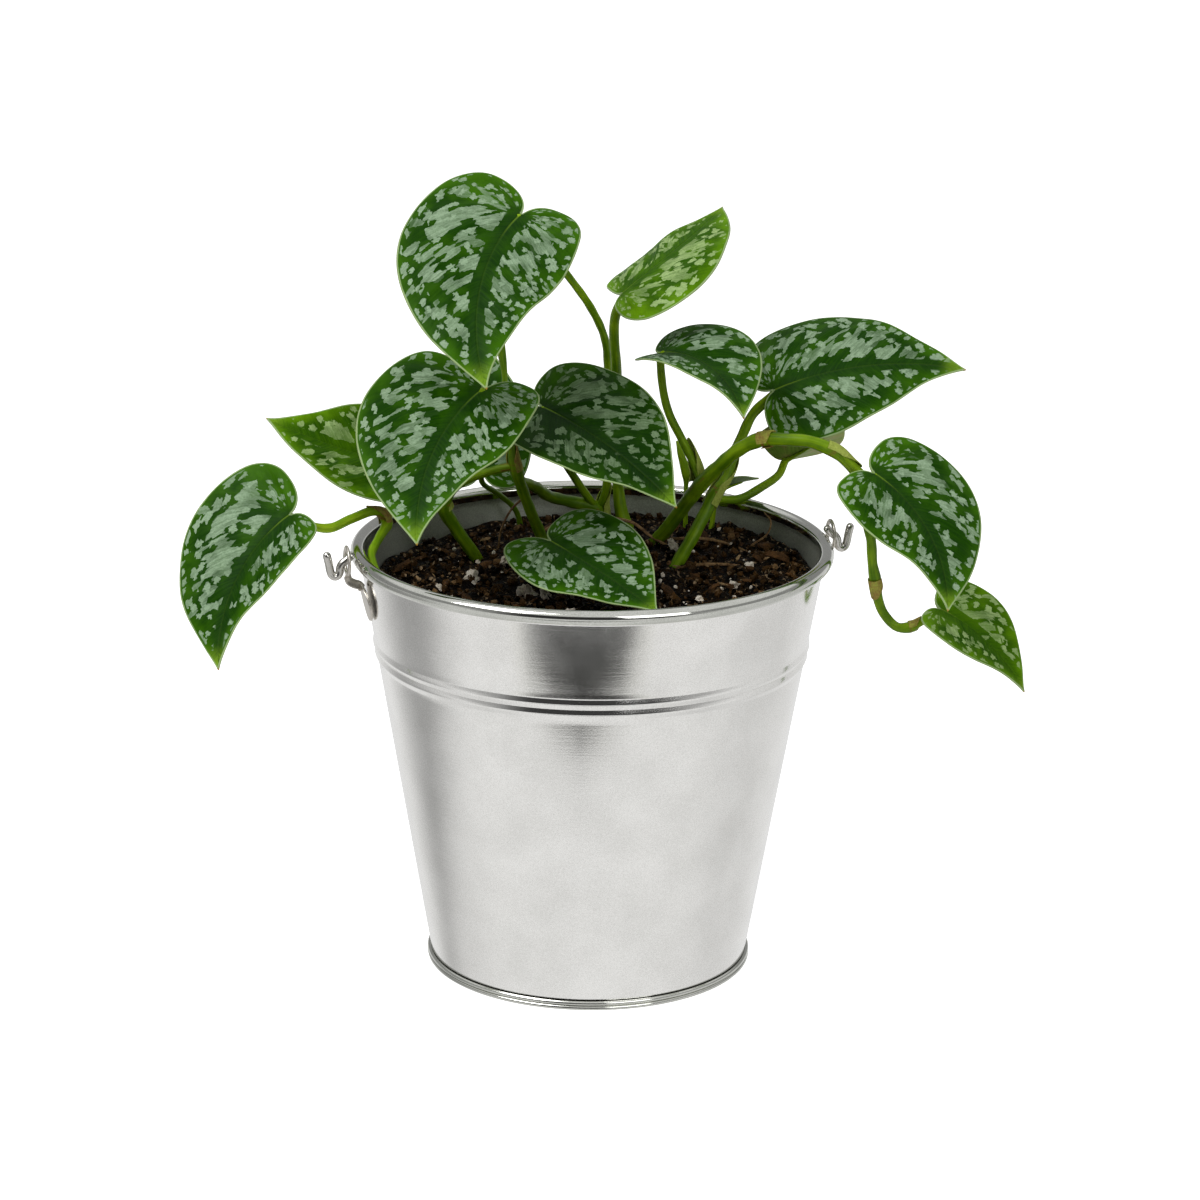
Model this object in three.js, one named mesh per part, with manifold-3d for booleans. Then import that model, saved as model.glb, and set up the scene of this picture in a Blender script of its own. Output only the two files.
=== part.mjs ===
// Satin pothos growing in a small galvanised pail.
// Millimetres, +Z up. The origin is the middle of the pail's underside, where it stands.
import * as THREE from 'three';
import { mergeVertices } from 'three/addons/utils/BufferGeometryUtils.js';
import Module from 'manifold-3d';

const wasm = await Module();
wasm.setup();

// ---- driving dimensions ----
const GAP = 0.3; // clearance between neighbouring pieces
const PAIL_HEIGHT = 126.4;
const FOOT_RADIUS = 46.3; // wall outside, at the floor
const MOUTH_RADIUS = 68.0; // wall outside, at the top
const SHEET = 0.7; // wall thickness
const WALL_FOOT = 3.0; // height where the wall starts, above the seam
const CURL_RADIUS = 2.1; // rolled rim
const RIM_RADIUS = 70.0; // outermost line of the rolled rim
const RIB_HEIGHTS = [94.4, 97.5];
const RIB_PROUD = 0.6;
const RIB_HALF = 1.45;
const SEAM_RADIUS = 47.8; // outermost line of the seam round the foot
const SEAM_HEIGHT = WALL_FOOT - GAP;
const GROOVE_RADIUS = 41; // ring groove pressed into the underside
const GROOVE_WIDTH = 2.5;
const GROOVE_DEPTH = 0.6;
const ROUND_STEPS = 40; // facets round the pail
const EAR_TURN = 13.5; // degrees the two ears are turned round the pail
const EYE_REACH = 72.0; // distance of the eye plate from the pail's axis
const EYE_HEIGHT = 124.8;
const EYE_OUTER = 4.6;
const EYE_HOLE = 3.1;
const EAR_PLATE = 1.0; // sheet thickness of the ear
const EAR_LEAN = 3; // degrees its plate leans out from the wall
const EAR_TOP = 118.0;
const EAR_BOTTOM = 106.8;
const EAR_HALF = 7.2; // half its width at the widest
const NECK_HALF = 1.8; // half the width of the strip that carries the eye
const HOOK_WIRE = 1.2; // wire radius
const PANEL = 1.2; // thickness of the pail's bottom
const SOIL_LEVEL = 115;
const SOIL_FLOOR = PANEL + GAP;
const CHIP_COUNT = 26; // bark chips
const CHIP_REACH = 57; // furthest chip from the pail's axis
const THIN_STEM = 1.4; // rods with a smaller radius get six sides, thicker ones eight
const BLADE = 0.8; // leaf thickness
const LEAF_STATIONS = 12; // facets along one margin of a leaf
const LEAF_STRIPS = 3; // facets from midrib to margin

const degrees = THREE.MathUtils.degToRad;
const wallRadius = (z) => FOOT_RADIUS + ((MOUTH_RADIUS - FOOT_RADIUS) * z) / PAIL_HEIGHT;

// ---- materials ----
function plain(color, roughness, metalness) {
  return new THREE.MeshStandardMaterial({ color, roughness, metalness });
}
const galvanised = plain(0xb9bcbc, 0.32, 1.0);
const wire = plain(0xa3a5a4, 0.35, 1.0);
const soilBrown = plain(0x2a1b12, 0.95, 0.0);
const stemGreen = plain(0x4f7a22, 0.5, 0.0);
const leafDark = plain(0x2c5a2b, 0.42, 0.0);
const leafBright = plain(0x4c8a2c, 0.42, 0.0);

// ---- solids ----
// A closed geometry with shared corners and no empty triangles.
function weld(geometry) {
  geometry.deleteAttribute('normal');
  geometry.deleteAttribute('uv');
  const merged = mergeVertices(geometry, 1e-4);
  const kept = [];
  const index = merged.index.array;
  for (let i = 0; i < index.length; i += 3) {
    const [a, b, c] = [index[i], index[i + 1], index[i + 2]];
    if (a !== b && b !== c && c !== a) kept.push(a, b, c);
  }
  merged.setIndex(kept);
  return merged;
}

function solid(geometry) {
  const welded = weld(geometry);
  const vertProperties = new Float32Array(welded.attributes.position.array);
  const triVerts = new Uint32Array(welded.index.array);
  return new wasm.Manifold(new wasm.Mesh({ numProp: 3, vertProperties, triVerts }));
}

function geometryOf(body) {
  const mesh = body.getMesh();
  const geometry = new THREE.BufferGeometry();
  geometry.setAttribute('position', new THREE.BufferAttribute(mesh.vertProperties, 3));
  geometry.setIndex(new THREE.BufferAttribute(mesh.triVerts, 1));
  return geometry;
}

function fuse(bodies) {
  return bodies.reduce((all, body) => all.add(body));
}

// The biggest of the pieces that a cut leaves.
function biggest(body) {
  return body.decompose().sort((a, b) => b.volume() - a.volume())[0];
}

const part = new THREE.Group();
function node(name, geometry, material) {
  const mesh = new THREE.Mesh(geometry, material);
  mesh.name = name;
  part.add(mesh);
  return mesh;
}

function turned(profile, steps = ROUND_STEPS) {
  const points = profile.map(([r, z]) => new THREE.Vector2(r, z));
  return new THREE.LatheGeometry(points, steps).rotateX(Math.PI / 2);
}

// A round rod through points [x, y, z, radius], with the radius changing evenly between them.
function rod(points, spacing = 6, extra = 0) {
  const centres = points.map(([x, y, z]) => new THREE.Vector3(x, y, z));
  const path = new THREE.CatmullRomCurve3(centres, false, 'centripetal');
  const steps = Math.max(points.length - 1, Math.round(path.getLength() / spacing));
  const sides = Math.max(...points.map((p) => p[3])) < THIN_STEM ? 6 : 8;
  const { normals, binormals } = path.computeFrenetFrames(steps, false);
  const positions = [];
  for (let i = 0; i <= steps; i += 1) {
    const t = path.getUtoTmapping(i / steps);
    const centre = path.getPoint(t);
    const at = Math.min(t * (points.length - 1), points.length - 1.001);
    const near = Math.floor(at);
    const radius = THREE.MathUtils.lerp(points[near][3], points[near + 1][3], at - near) + extra;
    for (let j = 0; j < sides; j += 1) {
      const angle = (j / sides) * Math.PI * 2;
      const corner = centre.clone();
      corner.addScaledVector(normals[i], radius * Math.cos(angle));
      corner.addScaledVector(binormals[i], radius * Math.sin(angle));
      positions.push(...corner);
    }
  }
  const index = [];
  for (let i = 0; i < steps; i += 1) {
    for (let j = 0; j < sides; j += 1) {
      const [a, b] = [i * sides + j, i * sides + ((j + 1) % sides)];
      index.push(a, b, b + sides, a, b + sides, a + sides);
    }
  }
  const last = steps * sides;
  for (let j = 1; j < sides - 1; j += 1) {
    index.push(0, j + 1, j, last, last + j, last + j + 1);
  }
  const geometry = new THREE.BufferGeometry();
  geometry.setAttribute('position', new THREE.Float32BufferAttribute(positions, 3));
  geometry.setIndex(index);
  return geometry;
}

// ---- pail ----
function ribBump(z) {
  const bump = (at) => Math.sqrt(Math.max(0, 1 - ((z - at) / RIB_HALF) ** 2));
  return RIB_PROUD * Math.max(...RIB_HEIGHTS.map(bump));
}

function pailWall() {
  const curlHeight = PAIL_HEIGHT - CURL_RADIUS;
  const curlCentre = RIM_RADIUS - CURL_RADIUS;
  const ribSteps = [-1, -0.5, 0, 0.5, 1].map((part) => part * RIB_HALF);
  const ribLevels = RIB_HEIGHTS.flatMap((z) => ribSteps.map((step) => z + step));
  const underCurl = curlHeight - CURL_RADIUS;
  const outside = [WALL_FOOT, ...ribLevels, underCurl];
  const profile = outside.map((z) => [wallRadius(z) + ribBump(z), z]);
  const [curlStart, curlEnd, curlStep] = [-90, 180, 30];
  for (let turn = curlStart; turn <= curlEnd; turn += curlStep) {
    const [across, up] = [Math.cos(degrees(turn)), Math.sin(degrees(turn))];
    profile.push([curlCentre + CURL_RADIUS * across, curlHeight + CURL_RADIUS * up]);
  }
  const inside = [underCurl, WALL_FOOT];
  profile.push(...inside.map((z) => [wallRadius(z) - SHEET, z]));
  profile.push(profile[0]);
  return turned(profile);
}

function pailBottom() {
  const flank = 1.2; // sloping side of the groove
  const seamMiddle = SEAM_RADIUS - 1;
  const profile = [
    [0, 0],
    [GROOVE_RADIUS - flank, 0],
    [GROOVE_RADIUS, GROOVE_DEPTH],
    [GROOVE_RADIUS + GROOVE_WIDTH, GROOVE_DEPTH],
    [GROOVE_RADIUS + GROOVE_WIDTH + flank, 0],
    [seamMiddle, 0],
    [SEAM_RADIUS, SEAM_HEIGHT * 0.25],
    [SEAM_RADIUS - 0.4, SEAM_HEIGHT * 0.5],
    [SEAM_RADIUS, SEAM_HEIGHT * 0.75],
    [seamMiddle, SEAM_HEIGHT],
    [FOOT_RADIUS - PANEL, SEAM_HEIGHT],
    [FOOT_RADIUS - PANEL - SHEET, PANEL],
    [0, PANEL],
  ];
  return turned(profile);
}

// ---- ears and hooks, drawn for the right-hand side of the pail (+X) ----
function earBody() {
  const lean = Math.atan((MOUTH_RADIUS - FOOT_RADIUS) / PAIL_HEIGHT) + degrees(EAR_LEAN);
  const tall = EAR_TOP - EAR_BOTTOM;
  const [low, shoulder, high] = [0.23, 0.58, 0.83].map((share) => share * tall);
  const [inner, outer] = [0.75 * EAR_HALF, 0.95 * EAR_HALF];
  const leaf = new THREE.Shape();
  leaf.moveTo(0, 0);
  leaf.quadraticCurveTo(inner, low, EAR_HALF, shoulder);
  leaf.quadraticCurveTo(outer, high, NECK_HALF, tall);
  leaf.lineTo(-NECK_HALF, tall);
  leaf.quadraticCurveTo(-outer, high, -EAR_HALF, shoulder);
  leaf.quadraticCurveTo(-inner, low, 0, 0);
  const plate = { depth: EAR_PLATE, bevelEnabled: false, curveSegments: 5 };
  const plateShape = new THREE.ExtrudeGeometry(leaf, plate);
  // shape x -> across the ear, shape y -> up, thickness -> away from the pail
  plateShape.rotateX(Math.PI / 2).rotateZ(Math.PI / 2).rotateY(lean);
  plateShape.translate(wallRadius(EAR_BOTTOM) + GAP, 0, EAR_BOTTOM);
  const neckPath = [
    [67.6, 0, EAR_TOP - 1.6],
    [68.4, 0, EAR_TOP - 0.6],
    [70.0, 0, EAR_TOP],
    [71.5, 0, EAR_TOP + 1.0],
    [EYE_REACH, 0, EYE_HEIGHT - (EYE_OUTER + EYE_HOLE) / 2],
  ];
  const thick = EAR_PLATE / 2;
  const strip = new THREE.Shape();
  strip.moveTo(-NECK_HALF, -thick);
  strip.lineTo(NECK_HALF, -thick);
  strip.lineTo(NECK_HALF, thick);
  strip.lineTo(-NECK_HALF, thick);
  const bend = new THREE.CatmullRomCurve3(neckPath.map((p) => new THREE.Vector3(...p)));
  const neck = { steps: 7, extrudePath: bend, bevelEnabled: false };
  const neckShape = new THREE.ExtrudeGeometry(strip, neck);
  const eyeSection = [
    [EYE_HOLE, -thick],
    [EYE_OUTER, -thick],
    [EYE_OUTER, thick],
    [EYE_HOLE, thick],
    [EYE_HOLE, -thick],
  ];
  const eyeShape = turned(eyeSection, 20);
  eyeShape.rotateY(Math.PI / 2).translate(EYE_REACH, 0, EYE_HEIGHT);
  return fuse([solid(plateShape), solid(neckShape), solid(eyeShape)]);
}

// A wire bent through the eye, down and up again, with both ends free.
function hookGeometry() {
  const path = [
    [70.1, 0, 127.35],
    [72.0, 0, 125.3],
    [73.2, 0, 124.4],
    [74.0, 0, 123.2],
    [74.15, 0, 121.9],
    [74.6, 0, 120.8],
    [75.5, 0, 120.4],
    [76.4, 0, 120.9],
    [76.9, 0, 122.2],
    [77.3, 0, 124.4],
    [78.1, 0, 127.9],
  ];
  const spacing = 1.4;
  return rod(path.map((point) => [...point, HOOK_WIRE]), spacing);
}

// ---- leaves ----
// at: where the stalk joins the blade. right and left: half widths seen from above with the tip
// ahead. lobes: how far each side reaches back behind the stalk. heading, pitch and roll aim the
// midrib. droop and sway bend it down and sideways, fold lifts the sides, cup turns them down.
const LEAVES = {
  leaf_top: {
    at: [-21.5, 12, 220], length: 64, right: 28, left: 22, lobes: [9, 9],
    heading: -125, pitch: -22, roll: 22, droop: 30, sway: -50, fold: 9, cup: 0.2, tone: leafDark,
  },
  leaf_left_centre: {
    at: [-31.5, -8, 173.5], length: 59, right: 27.5, left: 20, lobes: [3, 10],
    heading: -132, pitch: -20, roll: 21, droop: 25, sway: -43, fold: 11, cup: 0.16, tone: leafDark,
  },
  leaf_left_bright: {
    at: [-55, 20, 143], length: 44, right: 18, left: 17, lobes: [6, 6],
    heading: 200, pitch: 17, roll: 41, droop: 19, sway: 31, fold: 15, cup: 0.1, tone: leafBright,
  },
  leaf_far_left: {
    at: [-87.5, 0, 133.5], length: 52, right: 24, left: 16, lobes: [7, 4],
    heading: -159, pitch: -33, roll: 28, droop: 31, sway: -51, fold: 15, cup: 0.09, tone: leafDark,
  },
  leaf_centre: {
    at: [-15, 6, 165], length: 55.5, right: 20, left: 24.5, lobes: [8, 8.5],
    heading: -39, pitch: -11, roll: -20, droop: 20, sway: 10, fold: 12, cup: 0.1, tone: leafDark,
  },
  leaf_front_small: {
    at: [-12, -12, 130], length: 47, right: 18.5, left: 19.5, lobes: [7, 5.5],
    heading: -43, pitch: -13, roll: -17, droop: -2, sway: 9, fold: 11, cup: 0.1, tone: leafDark,
  },
  leaf_upper_right: {
    at: [8, 36, 192], length: 48, right: 21, left: 18, lobes: [5, 2],
    heading: 14, pitch: 38, roll: -5, droop: 25, sway: -51, fold: 9, cup: 0.32, tone: leafBright,
  },
  leaf_folded: {
    at: [19.5, 20, 178], length: 43.5, right: 13, left: 19.5, lobes: [3, 6],
    heading: -40, pitch: 12, roll: -9, droop: 55, sway: 35, fold: 16, cup: 0.09, tone: leafDark,
  },
  leaf_right: {
    at: [53, 27, 165.5], length: 57.5, right: 20, left: 26.5, lobes: [5, 8],
    heading: -7, pitch: 26, roll: -41, droop: 37, sway: 15, fold: 5, cup: 0.3, tone: leafDark,
  },
  leaf_right_hanging: {
    at: [80.5, -6, 149.5], length: 50, right: 18, left: 22, lobes: [5.5, 5.5],
    heading: -29, pitch: -25, roll: -24, droop: 24, sway: 52, fold: 9, cup: 0.16, tone: leafDark,
  },
  leaf_trailing: {
    at: [102.5, 14, 103], length: 35.5, right: 13.5, left: 15, lobes: [3.5, 3.5],
    heading: -16, pitch: -22, roll: -23, droop: 31, sway: 21, fold: 15, cup: 0.1, tone: leafBright,
  },
  leaf_behind_centre: {
    at: [-33, 34, 139], length: 40, right: 15, left: 16, lobes: [6, 6],
    heading: 90, pitch: 70, roll: 0, droop: 10, sway: 0, fold: 12, cup: 0.1, tone: leafDark,
  },
  leaf_underside: {
    at: [56.7, 31, 143.7], length: 28.5, right: 11, left: 13.3, lobes: [3.8, 1.9],
    heading: -49, pitch: 27, roll: 29, droop: -21.5, sway: 0, fold: 38, cup: 0.24, tone: leafBright,
  },
  leaf_small_back: {
    at: [37, 48, 129], length: 14, right: 6, left: 6, lobes: [2, 2],
    heading: 20, pitch: 22, roll: 28, droop: 20, sway: 0, fold: 15, cup: 0, tone: leafDark,
  },
};

function bezier(a, b, c, d, t) {
  const u = 1 - t;
  return a * u ** 3 + 3 * b * t * u * u + 3 * c * t * t * u + d * t ** 3;
}

// One side of a heart-shaped outline, from the stalk (s = 0) round the lobe to the tip (s = 1).
function marginPoint(s, length, half, lobe) {
  const back = half / 2; // where the lobe reaches furthest back
  const widest = 0.24 * length;
  if (s <= 0.25) {
    const t = s / 0.25;
    return [bezier(0, 0.04 * half, 0.45 * back, back, t), bezier(0, -0.72 * lobe, -lobe, -lobe, t)];
  }
  if (s <= 0.5) {
    const t = (s - 0.25) / 0.25;
    return [bezier(back, 0.8 * half, half, half, t), bezier(-lobe, -lobe, 0, widest, t)];
  }
  const t = (s - 0.5) / 0.5;
  return [
    bezier(half, half, 0.16 * half, 0, t),
    bezier(widest, 0.54 * length, 0.84 * length, length, t),
  ];
}

// A point of the blade: side is +1 or -1, v runs from midrib to margin, lift is along its normal.
function bladePoint(leaf, side, s, v, lift) {
  const half = side > 0 ? leaf.right : leaf.left;
  const lobe = side > 0 ? leaf.lobes[0] : leaf.lobes[1];
  const [edgeX, edgeY] = marginPoint(s, leaf.length, half, lobe);
  const rib = Math.max(0, (s - 0.25) / 0.75) ** 2 * leaf.length;
  const x = v * edgeX;
  const y = rib + v * (edgeY - rib);
  const mean = (leaf.right + leaf.left) / 2;
  const across = x / mean;
  const rise = Math.tan(degrees(leaf.fold)) * (Math.sqrt(across ** 2 + 0.01) - 0.1);
  const z = mean * (rise - leaf.cup * across ** 2) + lift;
  // sideways bend
  const sway = degrees(leaf.sway || 0.01) / leaf.length;
  const angle = sway * Math.max(y, 0);
  const swayX = (1 - Math.cos(angle)) / sway + side * x * Math.cos(angle);
  const swayY = Math.sin(angle) / sway + Math.min(y, 0) - side * x * Math.sin(angle);
  // downward bend
  const bend = leaf.length / degrees(leaf.droop || 0.01);
  const arc = swayY / bend;
  return new THREE.Vector3(swayX, (bend + z) * Math.sin(arc), (bend + z) * Math.cos(arc) - bend);
}

// The leaf's own axes: x to its right, y along the midrib, z up out of its upper face.
function leafPlace(leaf) {
  const [heading, pitch, roll] = [leaf.heading, leaf.pitch, leaf.roll].map(degrees);
  const y = new THREE.Vector3(
    Math.cos(heading) * Math.cos(pitch),
    Math.sin(heading) * Math.cos(pitch),
    Math.sin(pitch),
  );
  const level = new THREE.Vector3(Math.sin(heading), -Math.cos(heading), 0);
  const x = level.clone().applyAxisAngle(y, -roll);
  const z = new THREE.Vector3().crossVectors(x, y);
  return new THREE.Matrix4().makeBasis(x, y, z).setPosition(...leaf.at);
}

// Upper and lower faces are split into the same triangles, with an edge strip between them.
function leafGeometry(leaf) {
  const place = leafPlace(leaf);
  const columns = 2 * LEAF_STRIPS + 1;
  const positions = [];
  for (const lift of [BLADE / 2, -BLADE / 2]) {
    for (let i = 0; i <= LEAF_STATIONS; i += 1) {
      for (let j = 0; j < columns; j += 1) {
        const across = (j - LEAF_STRIPS) / LEAF_STRIPS;
        const side = across < 0 ? -1 : 1;
        const point = bladePoint(leaf, side, i / LEAF_STATIONS, Math.abs(across), lift);
        positions.push(...point.applyMatrix4(place));
      }
    }
  }
  const faceSize = (LEAF_STATIONS + 1) * columns;
  const index = [];
  for (let i = 0; i < LEAF_STATIONS; i += 1) {
    for (let j = 0; j < columns - 1; j += 1) {
      const [a, b] = [i * columns + j, i * columns + j + 1];
      const [c, d] = [a + columns, b + columns];
      const pairs = j < LEAF_STRIPS ? [[a, b, d], [a, d, c]] : [[a, b, c], [b, d, c]];
      for (const [p, q, r] of pairs) {
        index.push(p, q, r);
        index.push(p + faceSize, r + faceSize, q + faceSize);
      }
    }
    const [left, right] = [i * columns, i * columns + columns - 1];
    index.push(left, left + columns, left + faceSize);
    index.push(left + columns, left + columns + faceSize, left + faceSize);
    index.push(right, right + faceSize, right + columns);
    index.push(right + columns, right + faceSize, right + columns + faceSize);
  }
  const geometry = new THREE.BufferGeometry();
  geometry.setAttribute('position', new THREE.Float32BufferAttribute(positions, 3));
  geometry.setIndex(index);
  return geometry;
}

// ---- stems ----
// Each stem node is a list of runs of points [x, y, z, radius]. A run may end at a leaf.
const STEMS = {
  vine_right: [
    { points: [[14, 42, 104, 2.1], [17, 38, 113, 2.1], [22, 30, 122, 2.1], [27, 24, 131, 2.1],
      [32, 17, 140, 2.3], [37, 11, 147, 2.05], [42, 6, 153, 2.0], [47.5, 2.2, 156.9, 2.2],
      [50, 1, 157.6, 1.95], [55, -1, 158, 1.85], [62, -3, 158, 1.8], [68, -4, 156, 1.95],
      [72, -3, 153, 1.7], [76, 0, 147, 1.5], [78, 4, 137, 1.5], [81, 7, 127, 1.5],
      [82, 9, 118, 1.5], [83, 10, 113, 1.85], [84, 11, 107, 1.5], [86, 12, 102, 1.4],
      [90, 12, 98, 1.4], [94, 12, 98, 1.7], [96, 12.4, 98.8, 1.15]], leaf: 'leaf_trailing' },
    { points: [[68, -3.8, 156, 1.3], [72, -3.6, 153.6, 1.3], [76, -2.6, 149.6, 1.25],
      [78.2, -3.5, 147.8, 1.15]], leaf: 'leaf_right_hanging' },
    { points: [[32, 17, 140, 1.3], [30, 19.5, 144, 1.25], [26, 20, 152, 1.25], [22, 20, 160, 1.25],
      [20, 20, 168, 1.2]], leaf: 'leaf_folded' },
  ],
  vine_right_back: [
    { points: [[22, 10, 104, 2.0], [23, 12.5, 112, 2.0], [26, 14, 118, 2.0], [29, 15.5, 123, 1.95],
      [33, 19, 130, 1.95], [35.3, 21.3, 134, 2.3], [39.5, 24.5, 140, 1.7], [41, 26, 145, 1.6],
      [44, 28, 152, 1.55], [47, 29, 158, 1.5]], leaf: 'leaf_right' },
    { points: [[35.3, 21.3, 134, 1.3], [43, 25, 133, 1.3], [50, 28, 136, 1.3], [55, 31, 139, 1.2]],
      leaf: 'leaf_underside' },
  ],
  vine_middle: [
    { points: [[-11, 20, 105, 1.75], [-13, 23, 113, 1.75], [-15, 26, 120, 1.75], [-18, 24, 128, 1.7],
      [-21, 21, 137, 1.75], [-22.8, 19.2, 143.6, 2.1], [-24, 18, 150, 1.2], [-26, 17, 161, 1.0],
      [-26, 18, 171, 0.9], [-27, 18, 179, 1.3], [-28, 17, 188, 1.35], [-29, 16, 197, 0.5]] },
    { points: [[4, 54, 106, 1.8], [4, 53, 115, 1.8], [2, 50, 122, 2.2], [-8, 46, 126, 1.8],
      [-13, 40, 129, 1.75], [-17, 32, 134, 1.7], [-21.7, 20.5, 139, 1.6]] },
    { points: [[2, 50, 122, 1.2], [4, 48, 130, 1.2], [4, 44, 145, 1.2], [4, 41, 157, 1.2],
      [4, 38, 169, 1.2], [3, 34, 179, 1.2], [-1, 29, 189, 1.2], [-8, 24, 200, 1.15],
      [-15, 19, 210, 1.1]], leaf: 'leaf_top' },
    { points: [[1, 49.5, 122.5, 1.3], [-6, 42, 135, 1.25], [-12, 28, 149, 1.2], [-15, 14, 160, 1.15]],
      leaf: 'leaf_centre' },
    { points: [[-32, 27, 105, 1.95], [-34, 25, 113, 1.95], [-40, 20, 124, 1.95],
      [-43.7, 15.4, 133.3, 2.25], [-40, 17, 138, 1.3], [-36, 19, 140, 1.3], [-30, 20, 142, 1.3],
      [-23, 19, 144, 1.3]] },
    { points: [[-43.7, 15.4, 133.3, 1.3], [-45, 13, 141, 1.25], [-41, 9, 152, 1.2], [-36, 2, 163, 1.2]],
      leaf: 'leaf_left_centre' },
  ],
  vine_left: [
    { points: [[-60, -11, 104, 1.4], [-60, -11, 109, 1.4], [-60, -11, 114, 1.4], [-60.2, -10.6, 116, 1.35],
      [-62.4, -8, 119.5, 1.3], [-63.9, -2, 122.5, 1.3], [-62, 6, 125.5, 1.35],
      [-60.2, 12.9, 128.3, 1.8], [-63, 11, 132, 1.45], [-70, 6, 131, 1.4], [-76, 3, 129, 1.4],
      [-81, 1, 130, 1.3]], leaf: 'leaf_far_left' },
    { points: [[-60.2, 12.9, 128.3, 1.2], [-58, 17, 135, 1.2]], leaf: 'leaf_left_bright' },
  ],
  stem_upright: [
    { points: [[13, 50, 106, 1.7], [11.5, 50, 115, 1.7], [9, 50.8, 120, 2.1], [7.5, 52, 130, 1.7],
      [7, 51, 145, 1.65], [6.3, 46, 167, 1.6], [6, 40, 184, 1.5]], leaf: 'leaf_upper_right' },
  ],
  petiole_front: [
    { points: [[-9, 6, 107, 1.0], [-9, 4, 117, 1.0], [-10, -2, 124, 1.0]], leaf: 'leaf_front_small' },
  ],
  petiole_back: [
    { points: [[-21, 56, 109, 0.85], [-23, 54, 120, 0.85], [-28, 48, 127, 0.85], [-33, 40, 133, 0.85]],
      leaf: 'leaf_behind_centre' },
  ],
  petiole_small_back: [
    { points: [[35, 47, 108, 0.8], [36, 48, 119, 0.8]], leaf: 'leaf_small_back' },
  ],
  furled_leaf_back: [
    { points: [[28, 52, 109, 0.75], [28, 50, 120, 0.75], [28, 50, 130, 0.7], [28, 50, 134, 1.6],
      [26.5, 50, 139, 1.2], [25, 50, 144, 0.4]] },
  ],
};
const BURIED = 112; // a run that starts below this stands in a hole in the soil
const HOLE_ROOM = 1.5 * GAP; // clearance of such a hole

// A stalk ends under its blade, a gap clear of the lower face at its own slant.
function stalkEnd(leaf, before) {
  const up = new THREE.Vector3();
  leafPlace(leaf).extractBasis(new THREE.Vector3(), new THREE.Vector3(), up);
  const joinPoint = new THREE.Vector3(...leaf.at);
  const [x, y, z, radius] = before;
  const slant = joinPoint.clone().sub(new THREE.Vector3(x, y, z)).normalize().dot(up);
  const depth = BLADE / 2 + GAP + radius * Math.sqrt(Math.max(0, 1 - slant ** 2));
  return [...joinPoint.addScaledVector(up, -depth), radius];
}

function stemBody(name) {
  const bodies = STEMS[name].map(({ points, leaf }) => {
    if (!leaf) return solid(rod(points));
    return solid(rod([...points, stalkEnd(LEAVES[leaf], points[points.length - 1])]));
  });
  return fuse(bodies);
}

// The room that buried runs need in the soil, a little deeper than their lower ends.
function stemHoles(name) {
  const buried = STEMS[name].filter(({ points }) => points[0][2] < BURIED);
  return buried.map(({ points }) => {
    const [first, ...rest] = points.slice(0, 4);
    const deeper = [first[0], first[1], first[2] - HOLE_ROOM, first[3]];
    return solid(rod([deeper, ...rest], 6, HOLE_ROOM));
  });
}

// ---- potting soil ----
function seeded(seed) {
  let state = seed;
  return () => {
    state = (state * 1664525 + 1013904223) % 4294967296;
    return state / 4294967296;
  };
}

function soilHeight(x, y) {
  const slope = 0.035 * x + 0.03 * y;
  const waves = Math.sin(x * 0.31 + 1.3) * Math.cos(y * 0.27) + 0.6 * Math.sin(x * 0.63 - y * 0.51);
  return SOIL_LEVEL + slope + 0.7 * waves;
}

function soilBody() {
  const rings = 5;
  const lowest = SOIL_LEVEL - 5;
  const surfaceRadius = wallRadius(lowest) - SHEET - GAP;
  const footRadius = FOOT_RADIUS - PANEL - 2 * SHEET;
  const positions = [0, 0, soilHeight(0, 0)];
  for (let i = 1; i <= rings + 1; i += 1) {
    for (let j = 0; j < ROUND_STEPS; j += 1) {
      const angle = (j / ROUND_STEPS) * Math.PI * 2;
      const foot = i > rings;
      const radius = foot ? footRadius : (i / rings) * surfaceRadius;
      const [x, y] = [radius * Math.cos(angle), radius * Math.sin(angle)];
      positions.push(x, y, foot ? SOIL_FLOOR : soilHeight(x, y));
    }
  }
  positions.push(0, 0, SOIL_FLOOR);
  const ring = (i, j) => 1 + (i - 1) * ROUND_STEPS + (j % ROUND_STEPS);
  const last = ring(rings + 2, 0);
  const index = [];
  for (let j = 0; j < ROUND_STEPS; j += 1) {
    index.push(0, ring(1, j), ring(1, j + 1));
    for (let i = 1; i <= rings; i += 1) {
      index.push(ring(i, j), ring(i + 1, j), ring(i + 1, j + 1));
      index.push(ring(i, j), ring(i + 1, j + 1), ring(i, j + 1));
    }
    index.push(last, ring(rings + 1, j + 1), ring(rings + 1, j));
  }
  const geometry = new THREE.BufferGeometry();
  geometry.setAttribute('position', new THREE.Float32BufferAttribute(positions, 3));
  geometry.setIndex(index);
  return solid(geometry);
}

// Bark chips lie half sunk in the surface.
function soilChips() {
  const random = seeded(7);
  const chips = [];
  for (let i = 0; i < CHIP_COUNT; i += 1) {
    const radius = CHIP_REACH * Math.sqrt(random());
    const angle = random() * Math.PI * 2;
    const [x, y] = [radius * Math.cos(angle), radius * Math.sin(angle)];
    const [long, wide, tall] = [2.2 + 2.4 * random(), 1.4 + 1.2 * random(), 1.1 + 0.7 * random()];
    const chip = new THREE.OctahedronGeometry(1).scale(long, wide, tall);
    chip.rotateX((random() - 0.5) * 0.8).rotateZ(random() * Math.PI);
    chips.push(solid(chip.translate(x, y, soilHeight(x, y))));
  }
  return chips;
}

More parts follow.
